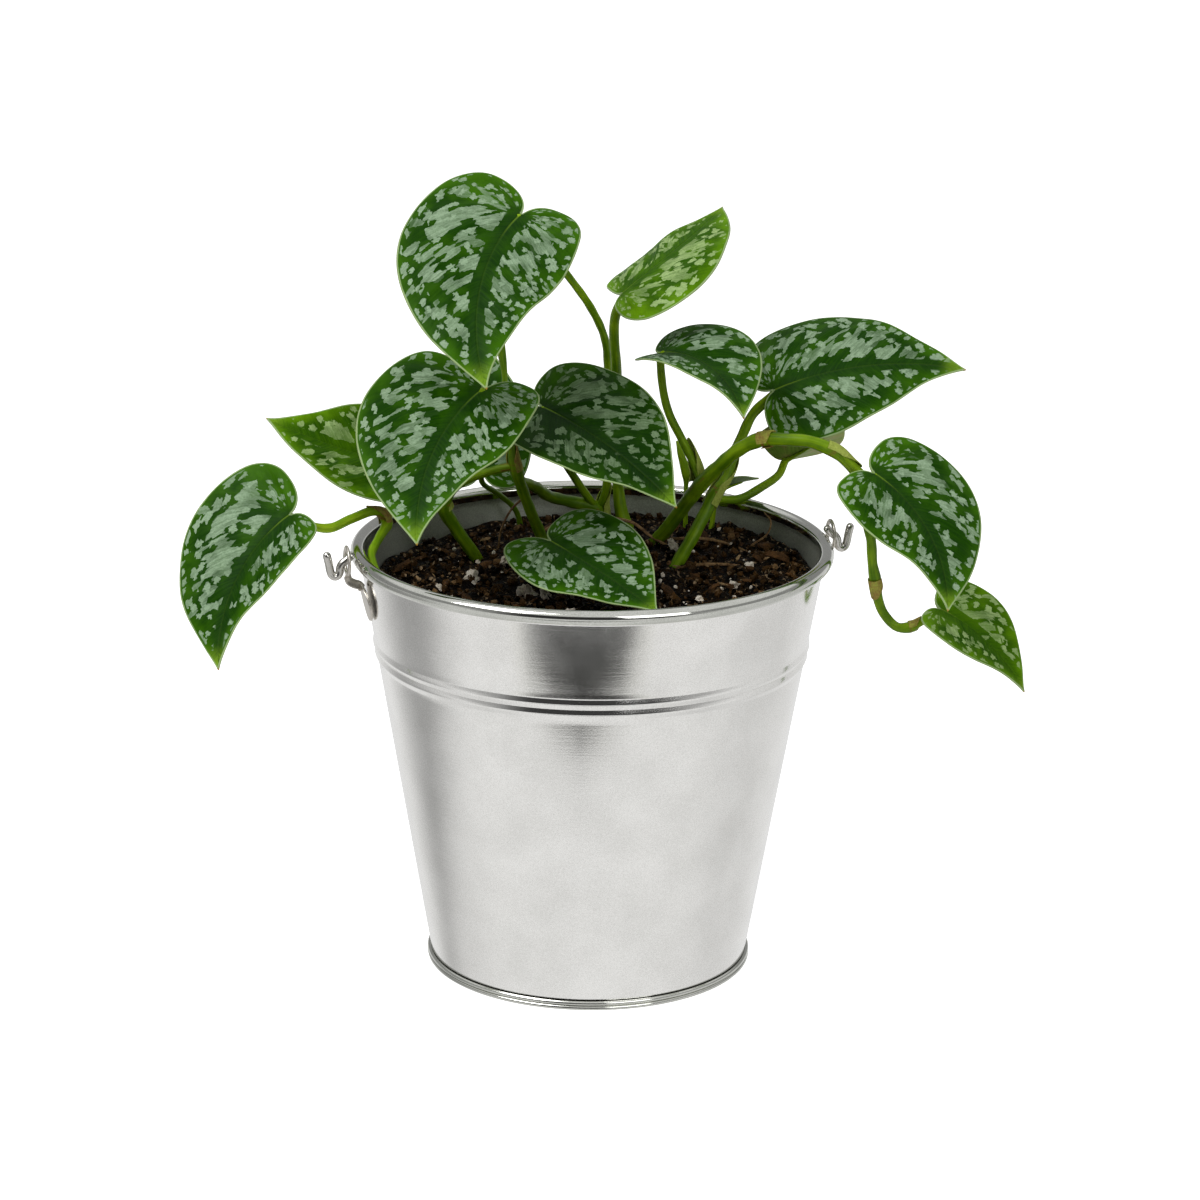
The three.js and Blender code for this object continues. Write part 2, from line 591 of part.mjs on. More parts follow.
// ---- assembly ----
node('pail_wall', pailWall(), galvanised);
node('pail_bottom', pailBottom(), galvanised);
for (const [side, turn] of [['left', 180 + EAR_TURN], ['right', EAR_TURN]]) {
  const ear = node(`ear_${side}`, geometryOf(earBody()), galvanised);
  const hook = node(`hook_${side}`, hookGeometry(), wire);
  ear.rotation.z = degrees(turn);
  hook.rotation.z = degrees(turn);
}

const holes = Object.keys(STEMS).flatMap(stemHoles);
const soil = fuse([soilBody(), ...soilChips()]).subtract(fuse(holes));
node('potting_soil', geometryOf(biggest(soil)), soilBrown);

for (const name of Object.keys(STEMS)) {
  node(name, geometryOf(stemBody(name)), stemGreen);
}
for (const [name, leaf] of Object.entries(LEAVES)) {
  node(name, weld(leafGeometry(leaf)), leaf.tone);
}

export default part;
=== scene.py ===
"""Satin pothos growing in a small galvanised pail: surfaces, fine forms, light and camera.

Lengths are millimetres and angles degrees, unless a comment says otherwise. The scene itself is in
metres.
"""

import random
from math import asinh, atan2, cos, exp, hypot, pi, radians, sin, sqrt, tan

import bpy
from mathutils import Matrix, Quaternion, Vector, kdtree, noise


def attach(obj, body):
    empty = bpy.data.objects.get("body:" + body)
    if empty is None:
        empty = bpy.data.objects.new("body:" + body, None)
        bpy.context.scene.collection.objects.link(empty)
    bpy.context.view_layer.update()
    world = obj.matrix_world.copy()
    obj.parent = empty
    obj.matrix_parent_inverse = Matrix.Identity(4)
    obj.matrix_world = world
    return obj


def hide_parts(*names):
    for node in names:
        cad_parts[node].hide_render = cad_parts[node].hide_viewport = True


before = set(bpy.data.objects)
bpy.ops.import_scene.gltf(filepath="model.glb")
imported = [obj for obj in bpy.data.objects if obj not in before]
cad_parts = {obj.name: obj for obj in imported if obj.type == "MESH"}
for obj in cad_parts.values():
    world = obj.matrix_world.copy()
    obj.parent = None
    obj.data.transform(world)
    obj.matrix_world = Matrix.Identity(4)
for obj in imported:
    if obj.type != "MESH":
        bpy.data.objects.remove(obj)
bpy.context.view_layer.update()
bpy.ops.object.select_all(action="DESELECT")

MM = 0.001

# ---- sizes of the pail ----
PAIL_HEIGHT = 126.4
FOOT_RADIUS = 46.3
MOUTH_RADIUS = 68.0
SHEET = 0.7
WALL_FOOT = 3.0
CURL_RADIUS = 2.1
RIM_RADIUS = 70.0
RIB_HEIGHTS = (94.4, 97.5)
RIB_PROUD = 0.62
RIB_HALF = 1.5
SEAM_RADIUS = 47.8
SEAM_HEIGHT = 2.7
PANEL = 1.2
EAR_TURNS = {"left": 193.5, "right": 13.5}
EYE_REACH = 72.0
EYE_HEIGHT = 124.8
EYE_MIDDLE = 3.85
EYE_WIRE = 0.75
EAR_LEAN = 3
EAR_TOP = 118.0
EAR_BOTTOM = 106.8
EAR_HALF = 7.2
HOOK_WIRE = 1.2
SOIL_LEVEL = 115.0


def wall_radius(z):
    return FOOT_RADIUS + (MOUTH_RADIUS - FOOT_RADIUS) * z / PAIL_HEIGHT


# ---- the leaves: the same values as the solids have ----
# A leaf starts at the point "at"; right and left are the widths of its halves.
LEAF_KEYS = ("at", "length", "right", "left", "lobes", "heading", "pitch", "roll", "droop", "sway",
             "fold", "cup")
LEAF_ROWS = {
    "leaf_top": ((-21.5, 12, 220), 64, 28, 22, (9, 9), -125, -22, 22, 30, -50, 9, 0.2),
    "leaf_left_centre": ((-31.5, -8, 173.5), 59, 27.5, 20, (3, 10), -132, -20, 21, 25, -43, 11, 0.16),
    "leaf_left_bright": ((-55, 20, 143), 44, 18, 17, (6, 6), 200, 17, 41, 19, 31, 15, 0.1),
    "leaf_far_left": ((-87.5, 0, 133.5), 52, 24, 16, (7, 4), -159, -33, 28, 31, -51, 15, 0.09),
    "leaf_centre": ((-15, 6, 165), 55.5, 20, 24.5, (8, 8.5), -39, -11, -20, 20, 10, 12, 0.1),
    "leaf_front_small": ((-12, -12, 130), 47, 18.5, 19.5, (7, 5.5), -43, -13, -17, -2, 9, 11, 0.1),
    "leaf_upper_right": ((8, 36, 192), 48, 21, 18, (5, 2), 14, 38, -5, 25, -51, 9, 0.32),
    "leaf_folded": ((19.5, 20, 178), 43.5, 13, 19.5, (3, 6), -40, 12, -9, 55, 35, 16, 0.09),
    "leaf_right": ((53, 27, 165.5), 57.5, 20, 26.5, (5, 8), -7, 26, -41, 37, 15, 5, 0.3),
    "leaf_right_hanging": ((80.5, -6, 149.5), 50, 18, 22, (5.5, 5.5), -29, -25, -24, 24, 52, 9, 0.16),
    "leaf_trailing": ((102.5, 14, 103), 35.5, 13.5, 15, (3.5, 3.5), -16, -22, -23, 31, 21, 15, 0.1),
    "leaf_behind_centre": ((-33, 34, 139), 40, 15, 16, (6, 6), 90, 70, 0, 10, 0, 12, 0.1),
    "leaf_underside": ((56.7, 31, 143.7), 28.5, 11, 13.3, (3.8, 1.9), -49, 27, 29, -21.5, 0, 38, 0.24),
    "leaf_small_back": ((37, 48, 129), 14, 6, 6, (2, 2), 20, 22, 28, 20, 0, 15, 0),
}
LEAVES = {name: dict(zip(LEAF_KEYS, row)) for name, row in LEAF_ROWS.items()}
# These leaves get a darker copy of the leaf face: painted shade for the shade they lie in under the leaves
# above.
PAINTED_SHADE_LEAVES = ("leaf_centre",)
BRIGHT_LEAVES = ("leaf_left_bright", "leaf_upper_right", "leaf_trailing", "leaf_underside",
                 "leaf_small_back")

# ---- the stems: runs of points (x, y, z, radius); a run may end at a leaf ----
STEMS = {
    "vine_right": [
        ([(14, 42, 104, 2.1), (17, 38, 113, 2.1), (22, 30, 122, 2.1), (27, 24, 131, 2.1),
          (32, 17, 140, 2.3), (37, 11, 147, 2.05), (42, 6, 153, 2.0), (47.5, 2.2, 156.9, 2.2),
          (50, 1, 157.6, 1.95), (55, -1, 158, 1.85), (62, -3, 158, 1.8), (68, -4, 156, 1.95),
          (72, -3, 153, 1.7), (76, 0, 147, 1.5), (78, 4, 137, 1.5), (81, 7, 127, 1.5),
          (82, 9, 118, 1.5), (83, 10, 113, 1.85), (84, 11, 107, 1.5), (86, 12, 102, 1.4),
          (90, 12, 98, 1.4), (94, 12, 98, 1.7), (96, 12.4, 98.8, 1.15)], "leaf_trailing"),
        ([(68, -3.8, 156, 1.3), (72, -3.6, 153.6, 1.3), (76, -2.6, 149.6, 1.25),
          (78.2, -3.5, 147.8, 1.15)], "leaf_right_hanging"),
        ([(32, 17, 140, 1.3), (30, 19.5, 144, 1.25), (26, 20, 152, 1.25), (22, 20, 160, 1.25),
          (20, 20, 168, 1.2)], "leaf_folded"),
    ],
    "vine_right_back": [
        ([(22, 10, 104, 2.0), (23, 12.5, 112, 2.0), (26, 14, 118, 2.0), (29, 15.5, 123, 1.95),
          (33, 19, 130, 1.95), (35.3, 21.3, 134, 2.3), (39.5, 24.5, 140, 1.7), (41, 26, 145, 1.6),
          (44, 28, 152, 1.55), (47, 29, 158, 1.5)], "leaf_right"),
        ([(35.3, 21.3, 134, 1.3), (43, 25, 133, 1.3), (50, 28, 136, 1.3), (55, 31, 139, 1.2)],
         "leaf_underside"),
    ],
    "vine_middle": [
        ([(-11, 20, 105, 1.75), (-13, 23, 113, 1.75), (-15, 26, 120, 1.75), (-18, 24, 128, 1.7),
          (-21, 21, 137, 1.75), (-22.8, 19.2, 143.6, 2.1), (-24, 18, 150, 1.2), (-26, 17, 161, 1.0),
          (-26, 18, 171, 0.9), (-27, 18, 179, 1.3), (-28, 17, 188, 1.35), (-29, 16, 197, 0.5)], None),
        ([(4, 54, 106, 1.8), (4, 53, 115, 1.8), (2, 50, 122, 2.2), (-8, 46, 126, 1.8),
          (-13, 40, 129, 1.75), (-17, 32, 134, 1.7), (-21.7, 20.5, 139, 1.6)], None),
        ([(2, 50, 122, 1.2), (4, 48, 130, 1.2), (4, 44, 145, 1.2), (4, 41, 157, 1.2),
          (4, 38, 169, 1.2), (3, 34, 179, 1.2), (-1, 29, 189, 1.2), (-8, 24, 200, 1.15),
          (-15, 19, 210, 1.1)], "leaf_top"),
        ([(1, 49.5, 122.5, 1.3), (-6, 42, 135, 1.25), (-12, 28, 149, 1.2), (-15, 14, 160, 1.15)],
         "leaf_centre"),
        ([(-32, 27, 105, 1.95), (-34, 25, 113, 1.95), (-40, 20, 124, 1.95), (-43.7, 15.4, 133.3, 2.25),
          (-40, 17, 138, 1.3), (-36, 19, 140, 1.3), (-30, 20, 142, 1.3), (-23, 19, 144, 1.3)], None),
        ([(-43.7, 15.4, 133.3, 1.3), (-45, 13, 141, 1.25), (-41, 9, 152, 1.2), (-36, 2, 163, 1.2)],
         "leaf_left_centre"),
    ],
    "vine_left": [
        ([(-60, -11, 104, 1.4), (-60, -11, 109, 1.4), (-60, -11, 114, 1.4), (-60.2, -10.6, 116, 1.35),
          (-62.4, -8, 119.5, 1.3), (-63.9, -2, 122.5, 1.3), (-62, 6, 125.5, 1.35),
          (-60.2, 12.9, 128.3, 1.8), (-63, 11, 132, 1.45), (-70, 6, 131, 1.4), (-76, 3, 129, 1.4),
          (-81, 1, 130, 1.3)], "leaf_far_left"),
        ([(-60.2, 12.9, 128.3, 1.2), (-58, 17, 135, 1.2)], "leaf_left_bright"),
    ],
    "stem_upright": [
        ([(13, 50, 106, 1.7), (11.5, 50, 115, 1.7), (9, 50.8, 120, 2.1), (7.5, 52, 130, 1.7),
          (7, 51, 145, 1.65), (6.3, 46, 167, 1.6), (6, 40, 184, 1.5)], "leaf_upper_right"),
    ],
    "petiole_front": [([(-9, 6, 107, 1.0), (-9, 4, 117, 1.0), (-10, -2, 124, 1.0)], "leaf_front_small")],
    "petiole_back": [([(-21, 56, 109, 0.85), (-23, 54, 120, 0.85), (-28, 48, 127, 0.85),
                       (-33, 40, 133, 0.85)], "leaf_behind_centre")],
    "petiole_small_back": [([(35, 47, 108, 0.8), (36, 48, 119, 0.8)], "leaf_small_back")],
    "furled_leaf_back": [([(28, 52, 109, 0.75), (28, 50, 120, 0.75), (28, 50, 130, 0.7),
                           (28, 50, 134, 1.6), (26.5, 50, 139, 1.2), (25, 50, 144, 0.4)], None)],
}

# Rings round a stem where a leaf was joined: (x, y, z, colour strength).
NODE_RINGS = {
    "vine_right": [(32, 17, 140, 0.7), (49, 1.4, 157.3, 1.0), (68, -4, 156, 0.9), (83, 10, 113, 1.0),
                   (94, 12, 98, 0.8)],
    "vine_right_back": [(35.3, 21.3, 134, 0.8), (55, 31, 139, 0.5)],
    "vine_middle": [(-22.8, 19.2, 143.6, 0.8), (2, 50, 122, 0.9), (-43.7, 15.4, 133.3, 0.7)],
    "vine_left": [(-60.2, 12.9, 128.3, 0.9)],
    "stem_upright": [(9, 50.8, 120, 0.6)],
}


# ---- small helpers ----
def alone(obj):
    """Makes one object the only selected one."""
    bpy.ops.object.select_all(action="DESELECT")
    obj.select_set(True)
    bpy.context.view_layer.objects.active = obj
    return obj


def edit(obj):
    alone(obj)
    bpy.ops.object.mode_set(mode="EDIT")
    bpy.ops.mesh.select_all(action="SELECT")


def leave_edit():
    bpy.ops.object.mode_set(mode="OBJECT")


def merge_doubles(obj, distance=0.01):
    edit(obj)
    bpy.ops.mesh.remove_doubles(threshold=distance * MM)
    leave_edit()


def weld(obj, distance=0.004):
    """Closes a form at its seams and turns its faces outward."""
    merge_doubles(obj, distance)
    edit(obj)
    bpy.ops.mesh.normals_make_consistent(inside=False)
    leave_edit()


def apply_place(obj):
    alone(obj)
    bpy.ops.object.transform_apply(location=True, rotation=True, scale=True)


def apply_modifiers(obj):
    alone(obj)
    for modifier in list(obj.modifiers):
        bpy.ops.object.modifier_apply(modifier=modifier.name)


def joined(objects):
    alone(objects[0])
    for other in objects[1:]:
        other.select_set(True)
    bpy.ops.object.join()
    return bpy.context.view_layer.objects.active


def dress(obj, name, nodes, materials=(), angle=60, body="plant"):
    """Smooths and names a finished piece, gives it its materials and lets it ride on its body.

    Bends sharper than the angle keep a crisp edge. A piece without a list of nodes only adds to others.
    """
    alone(obj)
    bpy.ops.object.shade_smooth_by_angle(angle=radians(angle))
    obj.name = name
    obj.data.name = name
    for material in materials:
        obj.data.materials.append(material)
    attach(obj, body)
    if nodes:
        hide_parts(*nodes)
    obj.select_set(False)


def added(operator, **settings):
    """The form that an add operator makes, as the only selected object."""
    bpy.ops.object.select_all(action="DESELECT")
    operator(**settings)
    return bpy.context.object


def grid(columns, rows):
    """A grid whose corners run from 0 to 1 along x and y, as the start of a wrapped or bent form."""
    obj = added(bpy.ops.mesh.primitive_grid_add, x_subdivisions=columns, y_subdivisions=rows, size=1,
                calc_uvs=True, location=(0.5, 0.5, 0))
    apply_place(obj)
    return obj


def place_vertices(obj, rule):
    for vertex in obj.data.vertices:
        vertex.co = Vector(rule(vertex.co.x, vertex.co.y)) * MM
    obj.data.update()


def store(obj, name, values):
    """Keeps one number for each point, for the materials."""
    obj.data.attributes.new(name, "FLOAT", "POINT").data.foreach_set("value", values)


def thicken(obj, thickness):
    """Gives a sheet its thickness, half to either side."""
    sheet = obj.modifiers.new("Sheet", "SOLIDIFY")
    sheet.thickness = thickness * MM
    sheet.offset = 0
    return sheet


def axes_matrix(x_axis, y_axis, z_axis):
    return Matrix((x_axis, y_axis, z_axis)).transposed().to_4x4()


# ---- paths ----
SPAN_STEPS = 24  # samples between two points of a path
END_STOPS = (0, 0.05, 0.2, 0.5)  # shares of a rounded end that get a ring of points
TURNED_SIDES = 144  # sides of the pail


def span_point(p, share):
    """A point of the middle span of four points, on a centripetal curve."""
    gaps = [max((p[i + 1] - p[i]).length_squared, 1e-8) ** 0.25 for i in range(3)]
    first = (p[1] - p[0]) / gaps[0] - (p[2] - p[0]) / (gaps[0] + gaps[1]) + (p[2] - p[1]) / gaps[1]
    last = (p[2] - p[1]) / gaps[1] - (p[3] - p[1]) / (gaps[1] + gaps[2]) + (p[3] - p[2]) / gaps[2]
    first *= gaps[1]
    last *= gaps[1]
    square = 3 * (p[2] - p[1]) - 2 * first - last
    cube = 2 * (p[1] - p[2]) + first + last
    return p[1] + first * share + square * share ** 2 + cube * share ** 3


def path_samples(points, spacing):
    """Evenly spaced (centre, radius, distance) along a curve through points (x, y, z, radius)."""
    centres = [Vector(point[:3]) for point in points]
    radii = [point[3] for point in points]
    ends = [2 * centres[0] - centres[1]] + centres + [2 * centres[-1] - centres[-2]]
    fine = []
    for i in range(len(points) - 1):
        for k in range(SPAN_STEPS):
            share = k / SPAN_STEPS
            soft = share * share * (3 - 2 * share)
            radius = radii[i] + (radii[i + 1] - radii[i]) * soft
            fine.append((span_point(ends[i:i + 4], share), radius))
    fine.append((centres[-1], radii[-1]))
    run = [0.0]
    for (a, _), (b, _) in zip(fine, fine[1:]):
        run.append(run[-1] + (b - a).length)
    total = run[-1]
    tip = min(fine[-1][1], total / 3)
    root = min(fine[0][1], total / 3)
    inner = max(2, round((total - tip - root) / spacing))
    stops = [root * share for share in END_STOPS]
    stops += [root + (total - tip - root) * i / inner for i in range(inner + 1)]
    stops += [total - tip * share for share in reversed(END_STOPS)]
    found = []
    at = 0
    for stop in stops:
        while at < len(run) - 2 and run[at + 1] < stop:
            at += 1
        share = (stop - run[at]) / max(run[at + 1] - run[at], 1e-9)
        centre = fine[at][0].lerp(fine[at + 1][0], share)
        radius = fine[at][1] + (fine[at + 1][1] - fine[at][1]) * share
        from_end = min(stop / max(root, 1e-9), (total - stop) / max(tip, 1e-9), 1)
        found.append((centre, radius * sqrt(max(0, 1 - (1 - from_end) ** 2)), stop))
    return found


def turning_axes(samples):
    """Two axes across the path at each sample, carried along without twisting."""
    axes = []
    ahead = (samples[1][0] - samples[0][0]).normalized()
    side = ahead.orthogonal().normalized()
    for i in range(len(samples)):
        before = samples[max(i - 1, 0)][0]
        after = samples[min(i + 1, len(samples) - 1)][0]
        now = (after - before).normalized()
        side = ahead.rotation_difference(now) @ side
        side = (side - now * side.dot(now)).normalized()
        ahead = now
        axes.append((side, now.cross(side)))
    return axes


def across_path(centre, axes, wide, high, turn):
    """A point of an ellipse across a path."""
    side, other = axes
    return centre + side * (wide * cos(turn)) + other * (high * sin(turn))


def rod(points, sides, spacing, wide=1.0, shape=None):
    """A rod wrapped from a grid round the path. shape(distance, turn) scales the radius."""
    samples = path_samples(points, spacing)
    axes = turning_axes(samples)
    obj = grid(len(samples) - 1, sides)

    def wrap(x, y):
        i = round(x * (len(samples) - 1))
        centre, radius, distance = samples[i]
        turn = y * 2 * pi
        if shape:
            radius *= shape(distance, turn)
        return across_path(centre, axes[i], radius * wide, radius, turn)

    place_vertices(obj, wrap)
    for item in obj.data.uv_layers[0].data:
        item.uv = (item.uv[0] * samples[-1][2] * 0.1, item.uv[1])
    weld(obj)
    return obj


def turned(profile):
    """A ring extruded and scaled along a profile of (radius, height)."""
    start_radius, start_height = profile[0]
    obj = added(bpy.ops.mesh.primitive_circle_add, vertices=TURNED_SIDES, radius=start_radius * MM,
                location=(0, 0, start_height * MM), fill_type="NOTHING")
    apply_place(obj)
    edit(obj)
    for (radius, height), (next_radius, next_height) in zip(profile, profile[1:]):
        rise = (next_height - height) * MM
        bpy.ops.mesh.extrude_region_move(TRANSFORM_OT_translate={"value": (0, 0, rise)})
        grow = next_radius / radius
        bpy.ops.transform.resize(value=(grow, grow, 1), center_override=(0, 0, next_height * MM))
    leave_edit()
    return obj


# ---- node tools ----
MAP_SCALE = 100  # millimetres of leaf to one unit of its map


class Value:
    """An output in a node tree. Sums and products with it add the nodes that work them out."""

    def __init__(self, tree, socket):
        self.tree = tree
        self.socket = socket

    def __add__(self, other):
        return calc("ADD", self, other)

    def __sub__(self, other):
        return calc("SUBTRACT", self, other)

    def __rsub__(self, other):
        return calc("SUBTRACT", other, self)

    def __mul__(self, other):
        return calc("MULTIPLY", self, other)

    __radd__ = __add__
    __rmul__ = __mul__


class Node:
    """A new node; node["Color"] is its output of that name."""

    def __init__(self, tree, kind, inputs=None, **settings):
        self.tree = tree
        self.made = tree.nodes.new(kind)
        for key, value in settings.items():
            setattr(self.made, key, value)
        for key, value in (inputs or {}).items():
            feed(tree, value, self.made.inputs[key])

    def __getitem__(self, key):
        return Value(self.tree, self.made.outputs[key])


def feed(tree, value, socket):
    """Links a value of another node to a socket, or sets a plain one. Plain colours are opaque."""
    if isinstance(value, Value):
        tree.links.new(value.socket, socket)
    elif socket.type == "RGBA":
        socket.default_value = (*value, 1)
    else:
        socket.default_value = value


def shared_tree(values):
    return next(value.tree for value in values if isinstance(value, Value))


def calc(operation, *terms, clamp=False):
    inputs = dict(enumerate(terms))
    return Node(shared_tree(terms), "ShaderNodeMath", inputs, operation=operation, use_clamp=clamp)[0]


def vector_calc(operation, *terms, **inputs):
    inputs = {**dict(enumerate(terms)), **inputs}
    return Node(shared_tree(terms), "ShaderNodeVectorMath", inputs, operation=operation)[0]


def ramp(value, low, high, out_low=0.0, out_high=1.0, soft=True):
    inputs = {"Value": value, "From Min": low, "From Max": high, "To Min": out_low, "To Max": out_high}
    kind = "SMOOTHSTEP" if soft else "LINEAR"
    return Node(value.tree, "ShaderNodeMapRange", inputs, interpolation_type=kind, clamp=True)["Result"]


def blend(share, a, b):
    tree = shared_tree((share, a, b))
    return Node(tree, "ShaderNodeMix", {0: share, 6: a, 7: b}, data_type="RGBA")[2]


def scaled(vector, size, shift=(0, 0, 0)):
    inputs = {"Vector": vector, "Location": shift, "Scale": size}
    return Node(vector.tree, "ShaderNodeMapping", inputs)["Vector"]


def cloud(vector, size=None, detail=2.0, roughness=0.5, shift=(0, 0, 0)):
    """Soft noise over a place that is first scaled by size."""
    place = scaled(vector, size, shift) if size else vector
    inputs = {"Vector": place, "Scale": 1.0, "Detail": detail, "Roughness": roughness, "Distortion": 0.0}
    return Node(vector.tree, "ShaderNodeTexNoise", inputs)


def cells(vector, randomness=1.0, scale=1.0, dimensions="2D"):
    inputs = {"Vector": vector, "Scale": scale, "Randomness": randomness}
    return Node(vector.tree, "ShaderNodeTexVoronoi", inputs, voronoi_dimensions=dimensions, feature="F1")


def parts_of(colour):
    """The red, green and blue of a colour."""
    node = Node(colour.tree, "ShaderNodeSeparateColor", {0: colour})
    return node[0], node[1], node[2]


def bump(height, strength, distance):
    inputs = {"Height": height, "Strength": strength, "Distance": distance}
    return Node(height.tree, "ShaderNodeBump", inputs)["Normal"]


def attribute(material, name):
    return Node(material.node_tree, "ShaderNodeAttribute", attribute_name=name,
                attribute_type="GEOMETRY")["Fac"]


def vein_map(material):
    """The map along and across the side veins, in millimetres."""
    return scaled(Node(material.node_tree, "ShaderNodeUVMap", uv_map="veins")["UV"], (MAP_SCALE,) * 3)


def surface(name):
    """A new material and its Object coordinates in millimetres."""
    material = bpy.data.materials.new(name)
    material.use_nodes = True
    place = Node(material.node_tree, "ShaderNodeTexCoord")["Object"]
    return material, scaled(place, (1000, 1000, 1000))


def finish(material, **inputs):
    """Sets or links the shader's own sockets."""
    tree = material.node_tree
    for key, value in inputs.items():
        feed(tree, value, tree.nodes["Principled BSDF"].inputs[key.replace("_", " ")])
    return material


def group(name, inputs, outputs):
    """A node group and its input node. An input without a default is a vector, the rest are floats."""
    made = bpy.data.node_groups.new(name, "ShaderNodeTree")
    for label, default in inputs.items():
        kind = "NodeSocketVector" if default is None else "NodeSocketFloat"
        socket = made.interface.new_socket(name=label, in_out="INPUT", socket_type=kind)
        if default is not None:
            socket.default_value = default
    for label in outputs:
        made.interface.new_socket(name=label, in_out="OUTPUT", socket_type="NodeSocketFloat")
    return made, Node(made, "NodeGroupInput")


def use(made, inputs):
    return Node(shared_tree(inputs.values()), "ShaderNodeGroup", inputs, node_tree=made)


# ---- node groups ----
def fine_grain_group():
    """Small even grain with larger soft patches; both lie round 0.5."""
    sizes = {"Place": None, "Grain Size": 0.3, "Patch Size": 12.0}
    made, start = group("fine_grain", sizes, ["Grain", "Patch"])
    small = vector_calc("SCALE", start["Place"], Scale=calc("DIVIDE", 1.0, start["Grain Size"]))
    large = vector_calc("SCALE", start["Place"], Scale=calc("DIVIDE", 1.0, start["Patch Size"]))
    Node(made, "NodeGroupOutput", {"Grain": cloud(small)[0], "Patch": cloud(large, detail=3.0)[0]})
    return made


STROKE = (3.4, 1.05)  # length and width of a silver stroke
SPOT = (6.6, 4.0)  # spacing of the blotches along and across the veins
DOT = (3.3, 3.0)  # spacing of the dots
CRUMB = (0.6, 0.5)  # grain of a dot's ragged outline


def over(size):
    """The scale that makes cells of this length and width."""
    return 1 / size[0], 1 / size[1], 1


def silver_marks_group():
    """Ragged silver blotches built of short strokes along the side veins, and round dots further out.

    Place is (along the vein, across the veins) in millimetres.
    """
    inputs = {"Place": None, "From Rib": 5.0, "From Edge": 5.0, "Amount": 0.0, "Rib Band": 3.0}
    made, start = group("silver_marks", inputs, ["Mask", "Strength"])
    place, band = start["Place"], start["Rib Band"]
    from_rib, from_edge = start["From Rib"], start["From Edge"]
    wobble = vector_calc("SUBTRACT", cloud(place, (1.1, 1.5, 1))["Color"], (0.5, 0.5, 0.5))
    bent = vector_calc("ADD", place, vector_calc("MULTIPLY", wobble, (1.3, 0.8, 0.0)))
    # strokes: short narrow cells, each wholly silver or wholly green
    stroke = cells(scaled(bent, over(STROKE)), 0.95)
    centre = scaled(stroke["Position"], (*STROKE, 1))
    # blotches: wide spots that take in whole strokes, smaller towards the margin
    spot = cells(scaled(centre, over(SPOT)), 0.85)
    size, _, _ = parts_of(spot["Color"])
    ragged = cloud(centre, (0.34, 0.55, 1), 1.0)[0]
    inner = ramp(from_rib, band, band + 1.8, -0.5, 0.0)
    outer = ramp(from_edge, 2.5, 7.5, -0.34, 0.0)
    level = size * 0.24 + 0.30 + (ragged - 0.5) * 0.65 - spot["Distance"]
    level = level + (inner + outer) + start["Amount"]
    blotch = ramp(level, 0.0, 0.015)
    # dots, some of them touching their neighbours
    crumb = cells(scaled(bent, over(CRUMB)))["Position"]
    near = cells(scaled(crumb, (CRUMB[0] / DOT[0], CRUMB[1] / DOT[1], 1)), 0.75)
    pick, size, tone = parts_of(near["Color"])
    dot = ramp(size * 0.18 + 0.23 - near["Distance"], 0.0, 0.03)
    dot *= calc("GREATER_THAN", pick, ramp(from_edge, 4.0, 9.0, 0.12, 0.60))
    dot *= ramp(from_edge, 0.8, 1.2) * ramp(from_rib, band + 0.8, band + 1.6)
    # fine streaks along the veins, a light outline, and some strokes and areas fainter than others
    line = cloud(bent, (0.16, 2.3, 1), 3.0, 0.65)[0]
    faint = cloud(place, (1 / 9.0, 1 / 8.0, 1), shift=(31, 17, 0))[0]
    stroke_tone, _, _ = parts_of(stroke["Color"])
    strength = ramp(faint, 0.36, 0.58, 0.55, 1.0) * (stroke_tone * 0.34 + 0.66)
    strength *= ramp(line, 0.38, 0.62, 0.66, 1.15)
    strength += ramp(calc("ABSOLUTE", level - 0.02), 0.0, 0.035, 0.22, 0.0)
    bright = (tone * 0.35 + 0.7) * ramp(line, 0.38, 0.62, 0.85, 1.1)
    Node(made, "NodeGroupOutput", {"Mask": calc("MAXIMUM", blotch, dot),
                                   "Strength": calc("MAXIMUM", strength, dot * bright, clamp=True)})
    return made


def vein_streaks_group():
    """Fine streaks along the side veins: a value round 0.5 and a height for relief."""
    made, start = group("vein_streaks", {"Place": None}, ["Streak", "Height"])
    fine = cloud(start["Place"], (0.10, 1.9, 1), 3.0, 0.6)[0]
    broad = cloud(start["Place"], (0.06, 0.33, 1))[0]
    Node(made, "NodeGroupOutput", {"Streak": fine, "Height": broad * 0.7 + fine * 0.3})
    return made


fine_grain = fine_grain_group()
silver_marks = silver_marks_group()
vein_streaks = vein_streaks_group()


def grains(place, grain_size, patch_size):
    """Fine grain and larger soft patches of these sizes."""
    node = use(fine_grain, {"Place": place, "Grain Size": grain_size, "Patch Size": patch_size})
    return node["Grain"], node["Patch"]


# ---- finishes ----
RUST_TIP = (0.42, 0.24, 0.03)  # the dry point of a leaf
RIB_LINE = (0.13, 0.23, 0.02)
FRESH_TIP = (0.20, 0.36, 0.02)
PALE_EDGE = (0.36, 0.49, 0.22)
LEAF_MARKS = ("from_rib", "from_edge", "along")  # attributes of a blade


def galvanised(name, light, dark, roughness, relief=0.3, metal=1.0):
    """Zinc on rolled steel: fine faint speckle, soft patches and a slight level drawing grain."""
    material, place = surface(name)
    grain, patch = grains(place, 0.34, 14.0)
    drawn = cloud(place, (0.05, 0.05, 1.6), 3.0)[0]
    wave = cloud(place, (0.045, 0.045, 0.06), 1.0)[0]
    colour = blend(ramp(patch * 0.35 + grain * 0.65, 0.36, 0.64, soft=False), dark, light)
    height = wave * 0.5 + (drawn + grain) * 0.05
    return finish(material, Base_Color=colour, Metallic=metal, Normal=bump(height, relief, 0.0003),
                  Roughness=patch * 0.08 + (roughness - 0.04))


